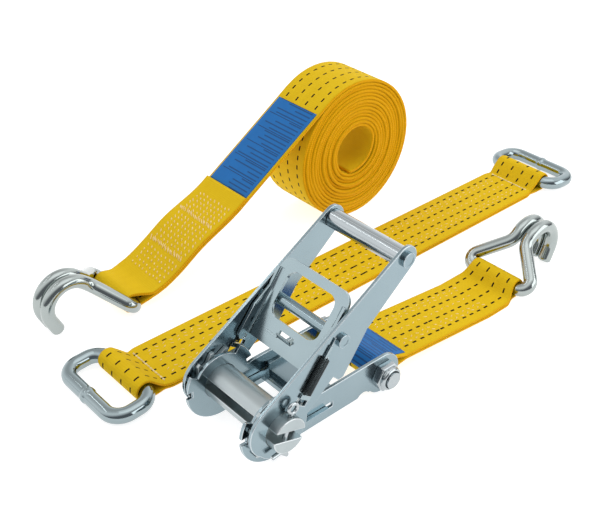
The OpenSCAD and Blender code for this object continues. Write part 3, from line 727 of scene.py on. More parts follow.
@dataclass
class WireForm:
    """A piece bent from round wire."""

    name: str
    line: list[Vector]
    radii: list[float]
    closed: bool
    first: Vector
    sides: int = 24
    end_round: float = 1.6

    def build(self, material: Material) -> Object:
        """Makes the wire from circles joined along its line.

        Args:
            material: its finish.

        Returns:
            The object.
        """
        bm = bmesh.new()
        last = len(self.line) - 1
        side = self.first
        rings: list[list[BMEdge]] = []
        for i, (at, radius) in enumerate(zip(self.line, self.radii)):
            before = self.line[i - 1] if i > 0 else self.line[last if self.closed else 0]
            after = self.line[i + 1] if i < last else self.line[0 if self.closed else last]
            ahead = (after - before).normalized()
            side = (side - ahead * side.dot(ahead)).normalized()
            turned = Matrix((side, ahead.cross(side), ahead)).transposed().to_4x4()
            spot = Matrix.Translation(at * MM) @ turned
            made = bmesh.ops.create_circle(bm, cap_ends=False, radius=radius * MM, segments=self.sides, matrix=spot)
            rings.append(list({e for v in made["verts"] for e in v.link_edges}))
        pairs = list(zip(rings, rings[1:])) + ([(rings[-1], rings[0])] if self.closed else [])
        for a, b in pairs:
            bmesh.ops.bridge_loops(bm, edges=a + b)
        if not self.closed:
            for ring in (rings[0], rings[-1]):
                bmesh.ops.contextual_create(bm, geom=ring)
                round_edges(bm, ring, self.end_round, segments=4)
        bmesh.ops.recalc_face_normals(bm, faces=bm.faces)
        return place(to_mesh(bm, sharp=50.0), self.name, [material])


@dataclass
class DriveSpring:
    """A close coil round the drive pawl's tongue, between the pawl and the handle."""

    side: str
    y: float
    drop: float = 3.4
    reach: Flat = (26.22, 51.15)
    radius: float = 3.15
    wire: float = 0.9
    curls: int = 23
    steps: int = 14

    def at(self, s: float, turn: float, radius: float) -> Vector:
        """A point of the coil.

        Args:
            s: distance along the pawl's path.
            turn: the angle round the coil, in radians.
            radius: distance from the coil's middle.

        Returns:
            The point in millimetres.
        """
        a = math.radians(PAWL_PATH)
        n = radius * math.sin(turn) - self.drop
        ahead, up = Vector((math.cos(a), 0, math.sin(a))), Vector((-math.sin(a), 0, math.cos(a)))
        return ahead * s + up * n + Vector((0, self.y + radius * math.cos(turn), 0))

    def build(self, material: Material) -> None:
        """Builds the spring.

        Args:
            material: its finish.
        """
        low, high = self.reach
        count = self.curls * self.steps
        ways = [(low + (high - low) * i / count, math.tau * i / self.steps) for i in range(count + 1)]
        line = [self.at(s, turn, self.radius) for s, turn in ways]
        radii = [self.wire / 2] * len(line)
        coil = WireForm(f"drive_coil_{self.side}", line, radii, False, Vector((0, 1, 0)), sides=8, end_round=0.15)
        piece = coil.build(material)
        self.at(low, 0, 0) * MM
        self.at(high, 0, 0) * MM
        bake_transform(piece)
        stand_for(piece, f"drive_spring_{self.side}")


def bent(a: Vector, b: Vector, c: Vector, radius: float, steps: int = 12) -> list[Vector]:
    """Points of a corner of wire, bent round a radius.

    Args:
        a: a point before the corner.
        b: the corner.
        c: a point after it.
        radius: the bend's radius.
        steps: how many steps it takes.

    Returns:
        The points.
    """
    u, v = (a - b).normalized(), (c - b).normalized()
    half = u.angle(v) / 2
    middle = b + (u + v).normalized() * (radius / math.sin(half))
    start, end = b + u * (radius / math.tan(half)) - middle, b + v * (radius / math.tan(half)) - middle
    span = math.pi - 2 * half
    turns = [i / steps for i in range(steps + 1)]
    return [middle + (start * math.sin(span * (1 - t)) + end * math.sin(span * t)) / math.sin(span) for t in turns]


@dataclass
class HungWire:
    """What hooks and rings share: a bent wire hung in a loop of webbing."""

    name: str
    node: str
    at: Vector
    turn: float

    def lean(self, tilt: float) -> Matrix:
        """The wire's place: its own frame tilted about y, turned about z and moved, in degrees and mm."""
        turned = Matrix.Translation(self.at) @ Matrix.Rotation(math.radians(self.turn), 4, "Z")
        return turned @ Matrix.Rotation(math.radians(tilt), 4, "Y")

    def hang(self, wire: WireForm, material: Material) -> None:
        """Builds the wire and lets it stand for its CAD node."""
        ride_for(wire.build(material), self.node)


@dataclass
class ClawHook(HungWire):
    """A double claw hook bent from one length of wire."""

    wire: float = 10.5
    slope: float = 43.0
    straight: float = 1.6
    loop_width: float = 42.0
    bar_room: float = 0.5
    bar_marks: tuple[float, ...] = (2.0, 8.0, 14.0, 19.0)
    corner_share: float = 0.62
    claw_gap: float = 0.8
    knee_r: float = 14.0
    bend_r: float = 18.5
    bend: float = 155.0
    bend_steps: int = 28
    tip: float = 11.0
    tip_steps: int = 4
    tilt: float = 40.35

    def half_line(self, side: int) -> list[Vector]:
        """The wire from the bar's middle to one point.

        Args:
            side: 1 or -1 for the side of the hook.

        Returns:
            Points in the hook's own frame.
        """
        corner_r = self.corner_share * self.wire
        slope = math.radians(self.slope)
        corner_y = self.loop_width / 2 + self.bar_room + corner_r / math.tan(math.pi / 4 - slope / 2)
        point_y = self.wire / 2 + self.claw_gap / 2
        knee_x = (corner_y - point_y) / math.tan(slope)
        bend_x = knee_x + self.knee_r * math.tan(slope / 2) + self.straight
        corner, knee = Vector((0, side * corner_y, 0)), Vector((knee_x, side * point_y, 0))
        turns = [math.radians(self.bend) * i / self.bend_steps for i in range(self.bend_steps + 1)]
        reach = [(bend_x + self.bend_r * math.sin(a), self.bend_r * (1 - math.cos(a))) for a in turns]
        hook = [Vector((x, side * point_y, z)) for x, z in reach]
        end = Vector((math.cos(turns[-1]), 0, math.sin(turns[-1])))
        tips = [hook[-1] + end * self.tip * k / self.tip_steps for k in range(1, self.tip_steps + 1)]
        bar = [Vector((0, side * y, 0)) for y in self.bar_marks]
        shoulder = bent(Vector((0, 0, 0)), corner, knee, corner_r)
        return bar + shoulder + bent(corner, knee, hook[0], self.knee_r, 8) + hook + tips

    def build(self, material: Material) -> None:
        """Builds the hook.

        Args:
            material: its finish.
        """
        lean = self.lean(-self.tilt) @ Matrix.Diagonal((1, 1, -1, 1))
        line = [lean @ p for p in self.half_line(-1)[::-1] + self.half_line(1)]
        self.hang(WireForm(self.name, line, [self.wire / 2] * len(line), False, Vector((0, 1, 0))), material)


@dataclass
class OblongRing(HungWire):
    """A welded oblong ring."""

    wire: float = 11.0
    inner_width: float = 56.0
    inner_length: float = 19.5
    corner_r: float = 12.0
    tilt: float = 4.04
    bar_marks: tuple[float, ...] = (-15, -5, 5, 15)
    weld: float = 0.6
    weld_half: float = 3.0
    weld_full: float = 0.3
    weld_marks: tuple[float, ...] = (6, 3, 2, 1.5, 1, 0.5, 0, -0.5, -1, -1.5, -2, -3, -6)

    def build(self, material: Material) -> None:
        """Builds the ring, a little thicker at its weld.

        Args:
            material: its finish.
        """
        half, long = (self.inner_width + self.wire) / 2, self.inner_length + self.wire
        a, b, c, d = (Vector(p) for p in ((0, -half, 0), (0, half, 0), (long, half, 0), (long, -half, 0)))
        line = [Vector((0, y, 0)) for y in self.bar_marks]
        line += bent(a, b, c, self.corner_r) + bent(b, c, d, self.corner_r)
        line += [Vector((long, k * self.weld_half / 2, 0)) for k in self.weld_marks]
        line += bent(c, d, a, self.corner_r) + bent(d, a, b, self.corner_r)
        shares = [1 - smoothstep(self.weld_full, 1.0, abs(p.y) / self.weld_half) for p in line]
        radii = [self.wire / 2 + self.weld * share * (p.x > long - 0.01) for p, share in zip(line, shares)]
        lean = self.lean(self.tilt)
        self.hang(WireForm(self.name, [lean @ p for p in line], radii, True, Vector((0, 0, 1))), material)


@dataclass
class LockNut:
    """The nut on the anchor bolt: a hexagon with a round collar turned over its locking ring."""

    flats: float = 19.0
    seat: float = -28.7
    shoulder: float = -34.8
    ease: float = 0.7
    around: int = 64
    # The collar's outline: distance from the bolt's axis, and y
    collar: tuple[Flat, ...] = (
        (6.3, -34.6), (8.6, -34.6), (8.6, -36.2), (8.35, -37.1), (7.8, -37.75),
        (7.2, -38.0), (6.75, -37.9), (6.45, -37.5), (6.3, -36.9),
    )

    def build(self, material: Material) -> None:
        """Builds the nut.

        Args:
            material: its finish.
        """
        x, z = BOLT
        bm = bmesh.new()
        depth, radius = (self.seat - self.shoulder) * MM, self.flats / math.sqrt(3) * MM
        turn = Matrix.Rotation(math.radians(90), 4, "X") @ Matrix.Rotation(math.radians(30), 4, "Z")
        spot = Matrix.Translation(Vector((x, (self.seat + self.shoulder) / 2, z)) * MM) @ turn
        bmesh.ops.create_cone(bm, cap_ends=True, segments=6, radius1=radius, radius2=radius, depth=depth, matrix=spot)
        round_edges(bm, bm.edges[:], self.ease)
        ring = [bm.verts.new(Vector((x + r, y, z)) * MM) for r, y in self.collar]
        edges = [bm.edges.new((a, b)) for a, b in zip(ring, ring[1:] + ring[:1])]
        centre = Vector((x, 0, z)) * MM
        bmesh.ops.spin(
            bm, geom=ring + edges, cent=centre, axis=(0, 1, 0), angle=math.tau, steps=self.around, use_merge=True
        )
        bmesh.ops.recalc_face_normals(bm, faces=bm.faces)
        ride_for(place(to_mesh(bm, sharp=35.0), "anchor_lock_nut", [material]), "anchor_nut")


@dataclass
class Ratchet:
    """The ratchet: pressed plates, shafts, wheels, pawls, rivets and the rolled grip."""

    # Each copied CAD node with the width of its eased edges and its finish
    copies: tuple[tuple[str, float, str], ...] = (
        ("frame_plate_left", 0.4, "plate"),
        ("frame_plate_right", 0.4, "plate"),
        ("anchor_bolt", 0.35, "bright"),
        ("lock_pawl", 0.5, "plate"),
        ("mandrel_upper", 0.6, "turned"),
        ("mandrel_lower", 0.6, "turned"),
        ("ratchet_wheel_left", 0.4, "turned"),
        ("ratchet_wheel_right", 0.4, "turned"),
        ("handle_plate_left", 0.5, "plate"),
        ("handle_plate_right", 0.5, "plate"),
        ("stop_rod", 1.1, "plate"),
        ("grip_rivet", 1.2, "plate"),
        ("grip_sleeve", 0.35, "bright"),
        # The drive pawl takes the plates' steel painted lighter, as painted light on its apron
        ("drive_pawl", 0.45, "pawl"),
    )
    kept: tuple[str, ...] = ("split_pin_left", "split_pin_right")
    rivets: tuple[str, ...] = ("stop_rod", "grip_rivet")
    spring_y: float = 35.4
    merge: float = 0.02
    tight: float = 0.4
    flat_angle: float = 0.6
    sharp_angle: float = 32.0
    wear: float = 0.35
    tab_hinge: Flat = (32.23, 30.85)
    tab_half: float = 6.3
    tab_reach: Flat = (4.2, 5.3)
    tab_lift: float = 42.0
    rib: Triple = (11.0, 1.1, 1.2)
    rib_lift: float = 1.0
    window_foot: Flat = (56.5, 63.8)
    window_half: float = 22.05
    window_more: float = 2.5
    head_face: float = 37.1
    dish_rim: float = 1.0
    dish_wall: float = 0.35
    dish_depth: float = 0.45

    def dish_ends(self, bm: BMesh) -> None:
        """Presses a shallow dish into each riveted end, as the riveting tool leaves it.

        Args:
            bm: the rod.
        """
        flat = [f for f in bm.faces if abs(f.normal.y) > 0.99]
        ends = [f for f in flat if abs(f.calc_center_median().y) > self.head_face * MM]
        for wide, deep in ((self.dish_rim, 0.0), (self.dish_wall, -self.dish_depth)):
            bmesh.ops.inset_region(bm, faces=ends, thickness=wide * MM, depth=deep * MM, use_even_offset=True)

    def lift_tab(self, bm: BMesh) -> None:
        """Stands the drive pawl's lanced tab up, raises the rib beside it and lengthens the window.

        Args:
            bm: the drive pawl.
        """
        hinge = Vector((self.tab_hinge[0], 0.0, self.tab_hinge[1])) * MM
        lift = Matrix.Rotation(math.radians(-self.tab_lift), 3, "Y")
        for vert in bm.verts:
            arm = vert.co - hinge
            if abs(arm.y) < self.tab_half * MM and self.tab_reach[0] * MM < arm.xz.length < self.tab_reach[1] * MM:
                vert.co = hinge + lift @ arm
        a = math.radians(PAWL_PATH)
        ahead = Vector((math.cos(a), 0.0, math.sin(a)))
        for vert in bm.verts:
            s = vert.co.dot(ahead) / MM
            if self.window_foot[0] < s < self.window_foot[1] and abs(vert.co.y) < self.window_half * MM:
                vert.co -= ahead * self.window_more * MM
        length, wide, tall = self.rib
        lean = Matrix.Rotation(math.radians(-PAWL_PATH), 4, "Y")
        middle = Matrix.Translation(hinge + Vector((0.0, (self.tab_half + length / 2) * MM, 0.0)))
        raised = Matrix.Translation((0.0, 0.0, self.rib_lift * MM))
        size = Matrix.Diagonal((wide * MM, length * MM, tall * MM, 1))
        bmesh.ops.create_cube(bm, size=1.0, matrix=middle @ lean @ raised @ size)

    def eased_copy(self, node: str, ease: float, material: Material) -> None:
        """Copies a CAD node with its sharp edges eased, as a press or a barrel leaves them.

        Args:
            node: the CAD node that the copy stands for.
            ease: the width of the eased edge.
            material: its finish.
        """
        bm = bmesh.new()
        bm.from_mesh(frame["nodes"][node].data)
        bmesh.ops.remove_doubles(bm, verts=bm.verts, dist=self.merge * MM)
        if node == "drive_pawl":
            self.lift_tab(bm)
        limit = math.radians(self.flat_angle)
        bmesh.ops.dissolve_limit(bm, angle_limit=limit, verts=bm.verts, edges=bm.edges)
        tight = {v for e in bm.edges if e.calc_length() < self.tight * MM for v in e.verts}
        free = [e for e in bm.edges if len(e.link_faces) == 2 and tight.isdisjoint(e.verts)]
        sharp = [e for e in free if e.calc_face_angle(0.0) > math.radians(self.sharp_angle)]
        wear = bm.faces.layers.float.new(EDGE)
        for face in round_edges(bm, sharp, ease, clamp=True):
            face[wear] = self.wear
        if node in self.rivets:
            self.dish_ends(bm)
        piece = place(to_mesh(bm, sharp=50.0), f"{node}_eased", [material])
        piece.modifiers.new("flat faces", "WEIGHTED_NORMAL").keep_sharp = True
        ride_for(piece, node)

    def build(self, made: Finishes) -> None:
        """Dresses every piece of the ratchet; the split pins keep their CAD shape.

        Args:
            made: the materials by their short names.
        """
        for node, ease, finish in self.copies:
            self.eased_copy(node, ease, made[finish])
        LockNut().build(made["bright"])
        for node in self.kept:
            mesh = frame["nodes"][node].data
            mesh.materials.clear()
            mesh.materials.append(made["bright"])
        for side, y in (("left", self.spring_y), ("right", -self.spring_y)):
            DriveSpring(side, y).build(made["spring"])


@dataclass
class Strap:
    """What the straps share: marked webbing, folded and sewn."""

    thickness: float = 2.3
    width: float = 50.0

    def weave(self, band: Band, made: Finishes, *nodes: str) -> Object:
        """Builds the webbing that stands for these nodes, with its two faces and its selvedge."""
        return band.build([made["dashed"], made["plain"], made["selvedge"]], *nodes)

    def declare(self, strap: Object, band: Band, rests_on: list[str], threads: list[Object]) -> None:
        """Takes the webbing, its band, what it rests on and its threads, and does nothing with them."""


@dataclass
class HookStrap(Strap):
    """What the straps with a hook share: a loop round its bar, and a label."""

    hook_eye: float = 6.8
    gathered: float = 42.0
    # The x between which the webbing goes from its full width to its gathered one
    drawn_in: Flat = (0.0, 1.0)
    label_width: float = 46.0
    label_thickness: float = 0.6

    def gather(self, at: Vector) -> float:
        """Width of the webbing, drawn in towards the hook's bar."""
        return self.width - (self.width - self.gathered) * smoothstep(*self.drawn_in, at.x)

    def lay_label(self, name: str, line: list[Flat], middle: float, cloth: Material, strap: str) -> None:
        """Lays a label on the strap.

        Args:
            name: the label's CAD node.
            line: its line in side view.
            middle: the y of its middle.
            cloth: its material.
            strap: the piece that it lies on; not used.
        """
        size, thick = self.label_width, self.label_thickness
        band = Band(f"{name}_cloth", line, middle, lambda at: size, thick, size)
        label = band.build([cloth] * 3, name)


@dataclass
class ShortStrap(HookStrap):
    """The short strap: a sewn double band from the anchor bolt to its claw hook, with a label."""

    hook: Flat = (250.0, -19.0)
    bolt_eye: float = 7.55
    low: Flat = (214.0, -24.6)
    end: Flat = (238.0, -24.6)
    throat: float = 28.0
    start: float = 70.0
    corner_r: float = 9.0
    half_layer: float = 1.2
    drawn_in: Flat = (234.0, 247.0)
    sewn_from: Flat = (222.0, -23.4)
    sewn_to: Flat = (128.0, -14.0)
    label_length: float = 26.0
    label_wrap: float = 172.0
    label_steps: int = 12

    def line(self) -> list[Flat]:
        """The closed line of the band, over the top to the bolt and back along the floor.

        Returns:
            Points in side view.
        """
        bolt, low = Vector(BOLT), Vector(self.low)
        ahead = (low - bolt).normalized()
        up = Vector((-ahead.y, ahead.x)) * self.half_layer
        throat = bolt + ahead * self.throat
        start = bolt + ahead * self.start + up
        top, under = throat + up, throat - up
        rise, drop = touch(BOLT, self.bolt_eye, top, 1), touch(BOLT, self.bolt_eye, under, -1)
        end_top = (self.end[0], self.end[1] + self.half_layer)
        end_low = (self.end[0], self.end[1] - self.half_layer)
        lift = touch(self.hook, self.hook_eye, end_top, -1)
        corners = [tuple(start), tuple(top)]
        corners += arc(BOLT, self.bolt_eye, rise, drop + 360)
        corners += [tuple(under), (self.low[0], self.low[1] - self.half_layer), end_low]
        corners += arc(self.hook, self.hook_eye, -90, lift + 360)
        corners += [end_top, (self.low[0], self.low[1] + self.half_layer), tuple(start)]
        return eased(corners, self.corner_r)[:-1]

    def label_line(self) -> list[Flat]:
        """The label's line, up the loop's slope and round its end.

        Returns:
            Points in side view.
        """
        bolt, low = Vector(BOLT), Vector(self.low)
        ahead = (low - bolt).normalized()
        outer = self.bolt_eye + self.half_layer
        throat = bolt + ahead * self.throat
        lean = math.atan2(ahead.y, ahead.x) + math.acos((outer - 2 * self.half_layer) / self.throat)
        up = Vector((math.cos(lean), math.sin(lean)))
        top = bolt + up * (outer + self.label_thickness / 2)
        foot = throat + up * (2 * self.half_layer + self.label_thickness / 2)
        down = (foot - top).normalized()
        steps = self.label_steps
        line = [tuple(top + down * self.label_length * (1 - i / steps)) for i in range(steps)]
        return line + arc(BOLT, outer + self.label_thickness / 2, math.degrees(lean), self.label_wrap, steps)

    def build(self, made: Finishes) -> None:
        """Builds the strap, its stitching and its label.

        Args:
            made: the materials by their short names.
        """
        band = Band("short_strap_webbing", self.line(), 0.0, self.gather, self.thickness, closed=True)
        strap = self.weave(band, made, "short_strap")
        sewing = Stitching("short_strap_stitches", band, self.thickness / 2)
        sewing.zigzag(band.nearest(*self.sewn_from), band.length)
        sewing.zigzag(0.0, band.nearest(*self.sewn_to))
        thread = sewing.build(made["pale_thread"], "short_strap")
        self.declare(strap, band, ["anchor_bolt", "short_hook"], [thread])
        self.lay_label("short_label", self.label_line(), 0.0, made["label"], band.name)


@dataclass
class LongStrap(HookStrap):
    """The long strap: a roll on its edge, a sloping tail, a fold sewn back over it and a label."""

    middle: float = 180.0
    roll_at: Flat = (246.0, 33.56)
    roll_r: float = 61.0
    pitch: float = 2.95
    turns: float = 319 / 24
    turn_steps: int = 48
    start: float = 123.0
    flap: float = 38.0
    flap_turn: float = 64.0
    flap_bulge: float = 9.6
    flap_steps: int = 8
    slope: float = 33.0
    corner: Flat = (53.07, -19.0)
    corner_r: float = 5.0
    hook: Flat = (17.03, -19.0)
    inlet: float = 17.0
    bend_r: float = 45.0
    bend_steps: int = 10
    layer: float = 2.4
    rolled_thickness: float = 2.9
    rolled_edge: float = 0.9
    step: float = 2.0
    fold_end: float = 88.9
    drawn_in: Flat = (36.0, 22.5)
    label_from: float = 89.4
    label_length: float = 89.0
    label_steps: int = 30
    sewn_rise: Flat = (24.0, 62.0)
    sewn_fall: Flat = (122.0, 74.0)
    sewn_lift: float = 6.5
    edge_lift: float = 2.0
    edge_from: float = -0.3
    # Distances along the webbing between which the roll's unevenness fades to none
    unrolled: Flat = (3584.9, 3324.9)
    # Height, length and start of each wave in the roll's turns
    waves: tuple[Triple, ...] = ((0.45, 61.0, 0.0), (0.35, 23.0, 1.0))
    # Distances from the webbing's end: three fields of stitches, and the bars between them
    fields: tuple[Flat, ...] = ((96.0, 77.0), (68.0, 41.5), (33.0, 14.0))
    field_stitch: Flat = (4.6, 3.4)
    bars: tuple[float, ...] = (72.5, 37.0)
    bar_stitch: Flat = (2.1, 5.5)
    thread: float = 1.15

    def along_tail(self, distance: float, lift: float) -> Flat:
        """A point on the sloping tail.

        Args:
            distance: distance up the slope from its corner.
            lift: height above the webbing's middle.

        Returns:
            The point in side view.
        """
        a = math.radians(self.slope)
        ahead, up = Vector((math.cos(a), math.sin(a))), Vector((-math.sin(a), math.cos(a)))
        return tuple(Vector(self.corner) + ahead * distance + up * lift)

    def bend(self, lift: float) -> list[Flat]:
        """The tail's bend from its slope to the level, at a height above its middle.

        Args:
            lift: the height.

        Returns:
            Points in side view, from the slope down.
        """
        a = math.radians(self.slope)
        reach = self.bend_r * math.tan(a / 2)
        centre = Vector(self.corner) + Vector((-reach, self.bend_r))
        turns = [a * (1 - i / self.bend_steps) for i in range(self.bend_steps + 1)]
        r = self.bend_r - lift
        return [(centre.x + r * math.sin(t), centre.y - r * math.cos(t)) for t in turns]

    def line(self) -> list[Flat]:
        """The whole line of the strap, from the roll's core to the end of its fold.

        Returns:
            Points in side view.
        """
        inner = math.radians(self.start - 360 * self.turns)
        inner_r = self.roll_r - self.pitch * self.turns
        core = Vector(self.roll_at) + Vector((math.cos(inner), math.sin(inner))) * inner_r
        away = inner - math.radians(90 + self.flap_turn)
        chord = Vector((math.cos(away), math.sin(away))) * self.flap
        out = Vector((-chord.y, chord.x)).normalized() * self.flap_bulge
        shares = [i / self.flap_steps for i in range(self.flap_steps + 1)]
        points = [tuple(core + chord * (1 - s) + out * 4 * (1 - s) * s) for s in shares]
        count = round(self.turns * self.turn_steps)
        for i in range(1, count + 1):
            share = 1 - i / count
            a = math.radians(self.start - 360 * self.turns * share)
            r = self.roll_r - self.pitch * self.turns * share
            points.append((self.roll_at[0] + r * math.cos(a), self.roll_at[1] + r * math.sin(a)))
        inlet = (self.hook[0] + self.inlet, self.hook[1])
        outlet = (self.hook[0] + self.inlet, self.hook[1] + self.layer)
        drop = touch(self.hook, self.hook_eye, inlet, -1)
        rise = touch(self.hook, self.hook_eye, outlet, 1)
        points += [*self.bend(0.0), inlet]
        points += arc(self.hook, self.hook_eye, drop + 360, rise)
        points += [outlet, *self.bend(self.layer)[::-1], self.along_tail(self.fold_end, self.layer)]
        return eased(points, self.corner_r, steps=3)

    def billow(self, u: float, at: Vector) -> float:
        """How far the stiff sewn fold stands off the slope, most of all at its far edge."""
        share = smoothstep(*self.sewn_rise, at.x) * smoothstep(*self.sewn_fall, at.x)
        return share * (self.sewn_lift + self.edge_lift * smoothstep(self.edge_from, 1.0, u))

    def rolled(self, v: float) -> float:
        """A share that is 1 in the roll and falls to 0 where the tail leaves it."""
        return smoothstep(*self.unrolled, v)

    def sway(self, v: float) -> float:
        """How far the turns of the roll stand out of line with each other."""
        return self.rolled(v) * sum(high * math.sin(v / long + start) for high, long, start in self.waves)

    def fullness(self, v: float) -> float:
        """Share of the roll's thickness, which falls to the tail's where the tail leaves it."""
        return 1 - (1 - self.thickness / self.rolled_thickness) * (1 - self.rolled(v))

    def build(self, made: Finishes) -> None:
        """Builds the strap, its stitching and its label.

        Args:
            made: the materials by their short names.
        """
        band = Band(
            "long_strap_webbing", self.line(), self.middle, self.gather, self.rolled_thickness, step=self.step,
            sway=self.sway, billow=self.billow, edge_share=self.rolled_edge, fullness=self.fullness,
        )
        strap = self.weave(band, made, "long_roll", "long_tail")
        sewing = Stitching("long_strap_stitches", band, -self.thickness / 2, self.thread)
        for first, last in self.fields:
            sewing.slanted(band.length - first, band.length - last, *self.field_stitch)
        for bar in self.bars:
            sewing.slanted(band.length - bar, band.length - bar, *self.bar_stitch)
        thread = sewing.build(made["pale_thread"], "long_strap")
        self.declare(strap, band, ["long_hook"], [thread])
        lift = self.thickness / 2 + self.label_thickness / 2
        steps = [self.label_length * (1 - i / self.label_steps) for i in range(self.label_steps + 1)]
        line = [self.along_tail(self.label_from + d, lift) for d in steps]
        self.lay_label("long_label", line, self.middle, made["label"], band.name)


@dataclass
class LinkStrap(Strap):
    """The link strap: a sewn double band with a ring in the loop at each end."""

    middle: float = 93.0
    near: Flat = (-31.5, -18.75)
    far: Flat = (400.5, -18.75)
    eye: float = 7.05
    start: float = 180.0
    crease: float = 15.5
    crease_reach: float = 4.0
    crease_r: float = 3.0
    top: float = -23.4
    slack: float = 1.6
    slack_ends: Flat = (9.0, 20.0)
    waist: float = 2.6
    seam: float = 18.6
    seam_half: float = 20.5
    seam_stitches: int = 13
    seam_thread: float = 1.5
    seam_gap: float = 6.0

    def line(self) -> list[Flat]:
        """The closed line of the band, over the top to the near ring and back along the floor.

        Returns:
            Points in side view.
        """
        start = (self.start, self.top)
        near_fold = (self.near[0] + self.crease, self.top)
        far_fold = (self.far[0] - self.crease, self.top)
        rise = touch(self.near, self.eye, near_fold, 1)
        lift = touch(self.far, self.eye, far_fold, -1)
        corners = [start, near_fold, *arc(self.near, self.eye, rise, 270)]
        corners += [*arc(self.far, self.eye, -90, lift + 360), far_fold, start]
        return eased(corners, self.crease_r)[:-1]

    def gather(self, at: Vector) -> float:
        """Width of the band, a little less round each ring and drawn in at the crease beside it.

        Args:
            at: a point in side view.

        Returns:
            The width.
        """
        reach = min(at.x - self.near[0], self.far[0] - at.x)
        drawn = self.waist * math.exp(-(((reach - self.crease) / self.crease_reach) ** 2))
        return self.width - self.slack * (1 - smoothstep(*self.slack_ends, reach)) - drawn

    def build(self, made: Finishes) -> None:
        """Builds the strap and its stitching.

        Args:
            made: the materials by their short names.
        """
        band = Band("link_strap_webbing", self.line(), self.middle, self.gather, self.thickness, closed=True)
        strap = self.weave(band, made, "link_strap")
        near, far = (band.nearest(x, self.top) for x in (self.near[0] + self.seam, self.far[0] - self.seam))
        sewing = Stitching("link_strap_stitches", band, self.thickness / 2)
        sewing.zigzag(0.0, near - self.seam_gap)
        sewing.zigzag(far + self.seam_gap, band.length)
        seams = Stitching("link_strap_seams", band, self.thickness / 2, self.seam_thread)
        for v in (near, far):
            seams.bar(v, self.seam_half, self.seam_stitches)
        threads = ((sewing, "pale_thread"), (seams, "cream_thread"))
        pieces = [rows.build(made[thread], "link_strap") for rows, thread in threads]
        self.declare(strap, band, ["link_ring_near", "link_ring_far"], pieces)


@dataclass(frozen=True)
class SoftBox:
    """A soft light: its place and size in metres, and its power in watts."""

    name: str
    at: Triple
    size: Flat
    power: float

    def hang(self, aim: Sequence[float]) -> None:
        """Hangs the light.

        Args:
            aim: the point that it faces, in metres.
        """
        data = bpy.data.lights.new(self.name, "AREA")
        data.shape = "RECTANGLE"
        data.size, data.size_y = self.size
        data.energy = self.power
        lamp = bpy.data.objects.new(self.name, data)
        lamp.location = self.at
        lamp.rotation_euler = (Vector(aim) - Vector(self.at)).to_track_quat("-Z", "Y").to_euler()
        bpy.context.scene.collection.objects.link(lamp)


@dataclass
class Studio:
    """Pale floor, soft lights and the camera."""

    eye: Triple = (-289.3, -379.4, 427.1)
    yaw: float = 48.57
    pitch: float = 34.13
    focus_px: float = 996.6
    image_px: float = 600.0
    sensor: float = 36.0
    # The floor's middle and half width, and the lights' aim, in metres
    floor_at: Flat = (0.15, 0.15)
    floor_half: float = 40.0
    aim: Triple = (0.16, 0.09, 0.0)
    lights: tuple[SoftBox, ...] = (
        SoftBox("top", (0.3, 0.0, 1.7), (1.4, 1.4), 3.0),
        SoftBox("strip", (-0.44, 0.86, 1.05), (0.9, 0.04), 0.5),
        SoftBox("front", (0.9, -1.2, 0.55), (1.6, 1.0), 12.0),
    )
    bright_way: Triple = (0.1, 0.62, 0.78)
    # The room's light by how far a way points to the bright side
    dark: Colour = (0.2, 0.21, 0.23, 1)
    bright: Colour = (0.72, 0.72, 0.72, 1)
    between: tuple[Flat, ...] = ((0.42, 1.2), (0.65, 1.32), (0.82, 1.05))
    blue: float = 1.01
    backdrop: Colour = (0.95, 0.95, 0.95, 1)

    def camera(self) -> None:
        """Makes the camera at the photograph's viewing angle."""
        data = bpy.data.cameras.new("camera")
        data.sensor_width = self.sensor
        data.sensor_fit = "HORIZONTAL"
        data.lens = self.focus_px * self.sensor / self.image_px
        data.clip_start = 0.01
        yaw, pitch = math.radians(self.yaw), math.radians(self.pitch)
        look = Vector((math.cos(pitch) * math.cos(yaw), math.cos(pitch) * math.sin(yaw), -math.sin(pitch)))
        camera = bpy.data.objects.new("camera", data)
        camera.location = Vector(self.eye) * MM
        camera.rotation_euler = look.to_track_quat("-Z", "Y").to_euler()
        bpy.context.scene.collection.objects.link(camera)
        bpy.context.scene.camera = camera

    def floor(self, material: Material) -> None:
        """Makes the floor.

        Args:
            material: its surface.
        """
        bm = bmesh.new()
        spot = Matrix.Translation((*self.floor_at, FLOOR_Z * MM))
        bmesh.ops.create_grid(bm, x_segments=8, y_segments=8, size=self.floor_half, matrix=spot)
        place(to_mesh(bm), "floor", [material])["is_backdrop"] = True

    def world(self) -> None:
        """Makes the room: pale to the eye, light at the back and above, dark behind the camera."""
        world = bpy.data.worlds.new("studio")
        bpy.context.scene.world = world
        world.use_nodes = True
        tree = world.node_tree
        tree.nodes.clear()
        way = add_node(tree, "TexCoord", out="Generated")
        toward = add_node(tree, "VectorMath DOT_PRODUCT", (way, self.bright_way))
        room = add_node(tree, "ValToRGB", (toward,))
        stops = room.node.color_ramp.elements
        stops[0].color, stops[1].color = self.dark, self.bright
        for at, level in self.between:
            stops.new(at).color = (level, level, self.blue * level, 1)
        lit, pale = (add_node(tree, "Background", (colour,)) for colour in (room, self.backdrop))
        seen = add_node(tree, "LightPath", out="Is Camera Ray")
        add_node(tree, "OutputWorld", (add_node(tree, "MixShader", (seen, lit, pale)),))

    def build(self, table: Material) -> None:
        """Sets up the whole studio.

        Args:
            table: the floor's material.
        """
        self.camera()
        self.floor(table)
        self.world()
        for light in self.lights:
            light.hang(self.aim)
        settings = bpy.context.scene.view_settings
        settings.view_transform = "Standard"
        settings.look = "None"


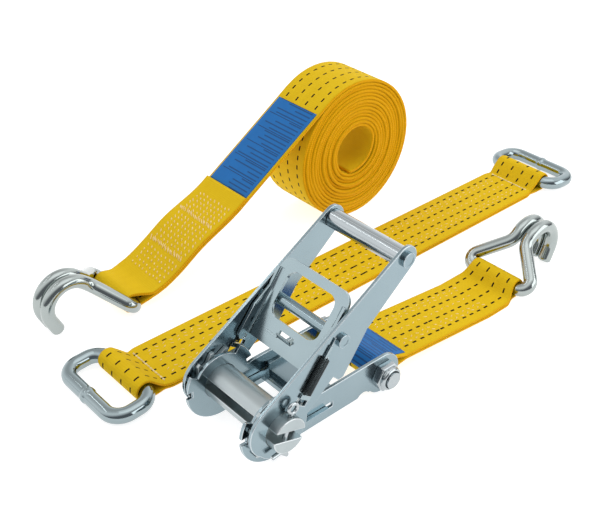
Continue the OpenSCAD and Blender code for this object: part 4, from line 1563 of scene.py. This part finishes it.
def finishes() -> Finishes:
    """Makes every material once.

    Returns:
        The materials by their short names.
    """
    looks = {
        "plate": PlatedSteel("zinc plated sheet steel", "#94A5AB", "#8B9DA4", 0.18),
        # The plates' sheet steel painted lighter for the drive pawl: painted light on its apron
        "pawl": PlatedSteel("zinc plated sheet steel painted lighter", "#9FAFB3", "#96A7AC", 0.2),
        "turned": PlatedSteel("zinc plated turned steel", "#B2BABB", "#A8B2B4", 0.36),
        "bright": PlatedSteel("bright zinc plated steel", "#B4BABC", "#AAB2B5", 0.16),
        "wire": PlatedSteel("zinc plated bent wire", "#9AA6A8", "#8D9B9F", 0.1),
        "hook": PlatedSteel("bright zinc plated bent wire", "#A9B0AD", "#9EA6A5", 0.13),
        "spring": PlatedSteel("oiled spring steel", "#3E4344", "#313536", 0.35),
        "dashed": Weave(Face.DASHED),
        "plain": Weave(Face.PLAIN),
        # The selvedge takes a larger share of painted shade in the valleys between its ribs
        "selvedge": Weave(Face.SELVEDGE, yellow="#F4BE00", shade="#EBB300", deep="#C98A00", rib=0.75),
        "label": LabelCloth(),
        "pale_thread": SewingThread("pale sewing thread", "#F2D698", "#E8C272"),
        "cream_thread": SewingThread("cream sewing thread", "#EFE0B0", "#DCC78A"),
        "table": LightTable(),
    }
    return {name: look.make() for name, look in looks.items()}


def write_size() -> None:
    boxes = {"cad": CAD_BOX, "visual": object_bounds()}
    plain = {name: [list(low), list(high)] for name, (low, high) in boxes.items()}


def main() -> None:
    """Builds the studio and every piece in order."""
    logging.basicConfig(level=logging.INFO, format="%(message)s")
    made = finishes()
    Studio().build(made["table"])
    Ratchet().build(made)
    short, long, link = ShortStrap(), LongStrap(), LinkStrap()
    for strap in (short, long, link):
        strap.build(made)
    for name, (x, z), y, turn in (("short", short.hook, 0.0, 0.0), ("long", long.hook, long.middle, 180.0)):
        ClawHook(f"{name}_claw_hook", f"{name}_hook", Vector((x, y, z)), turn).build(made["hook"])
    for name, (x, z), turn in (("near", link.near, 180.0), ("far", link.far, 0.0)):
        OblongRing(f"{name}_ring", f"link_ring_{name}", Vector((x, link.middle, z)), turn).build(made["wire"])
    write_size()


if __name__ == "__main__":
    main()
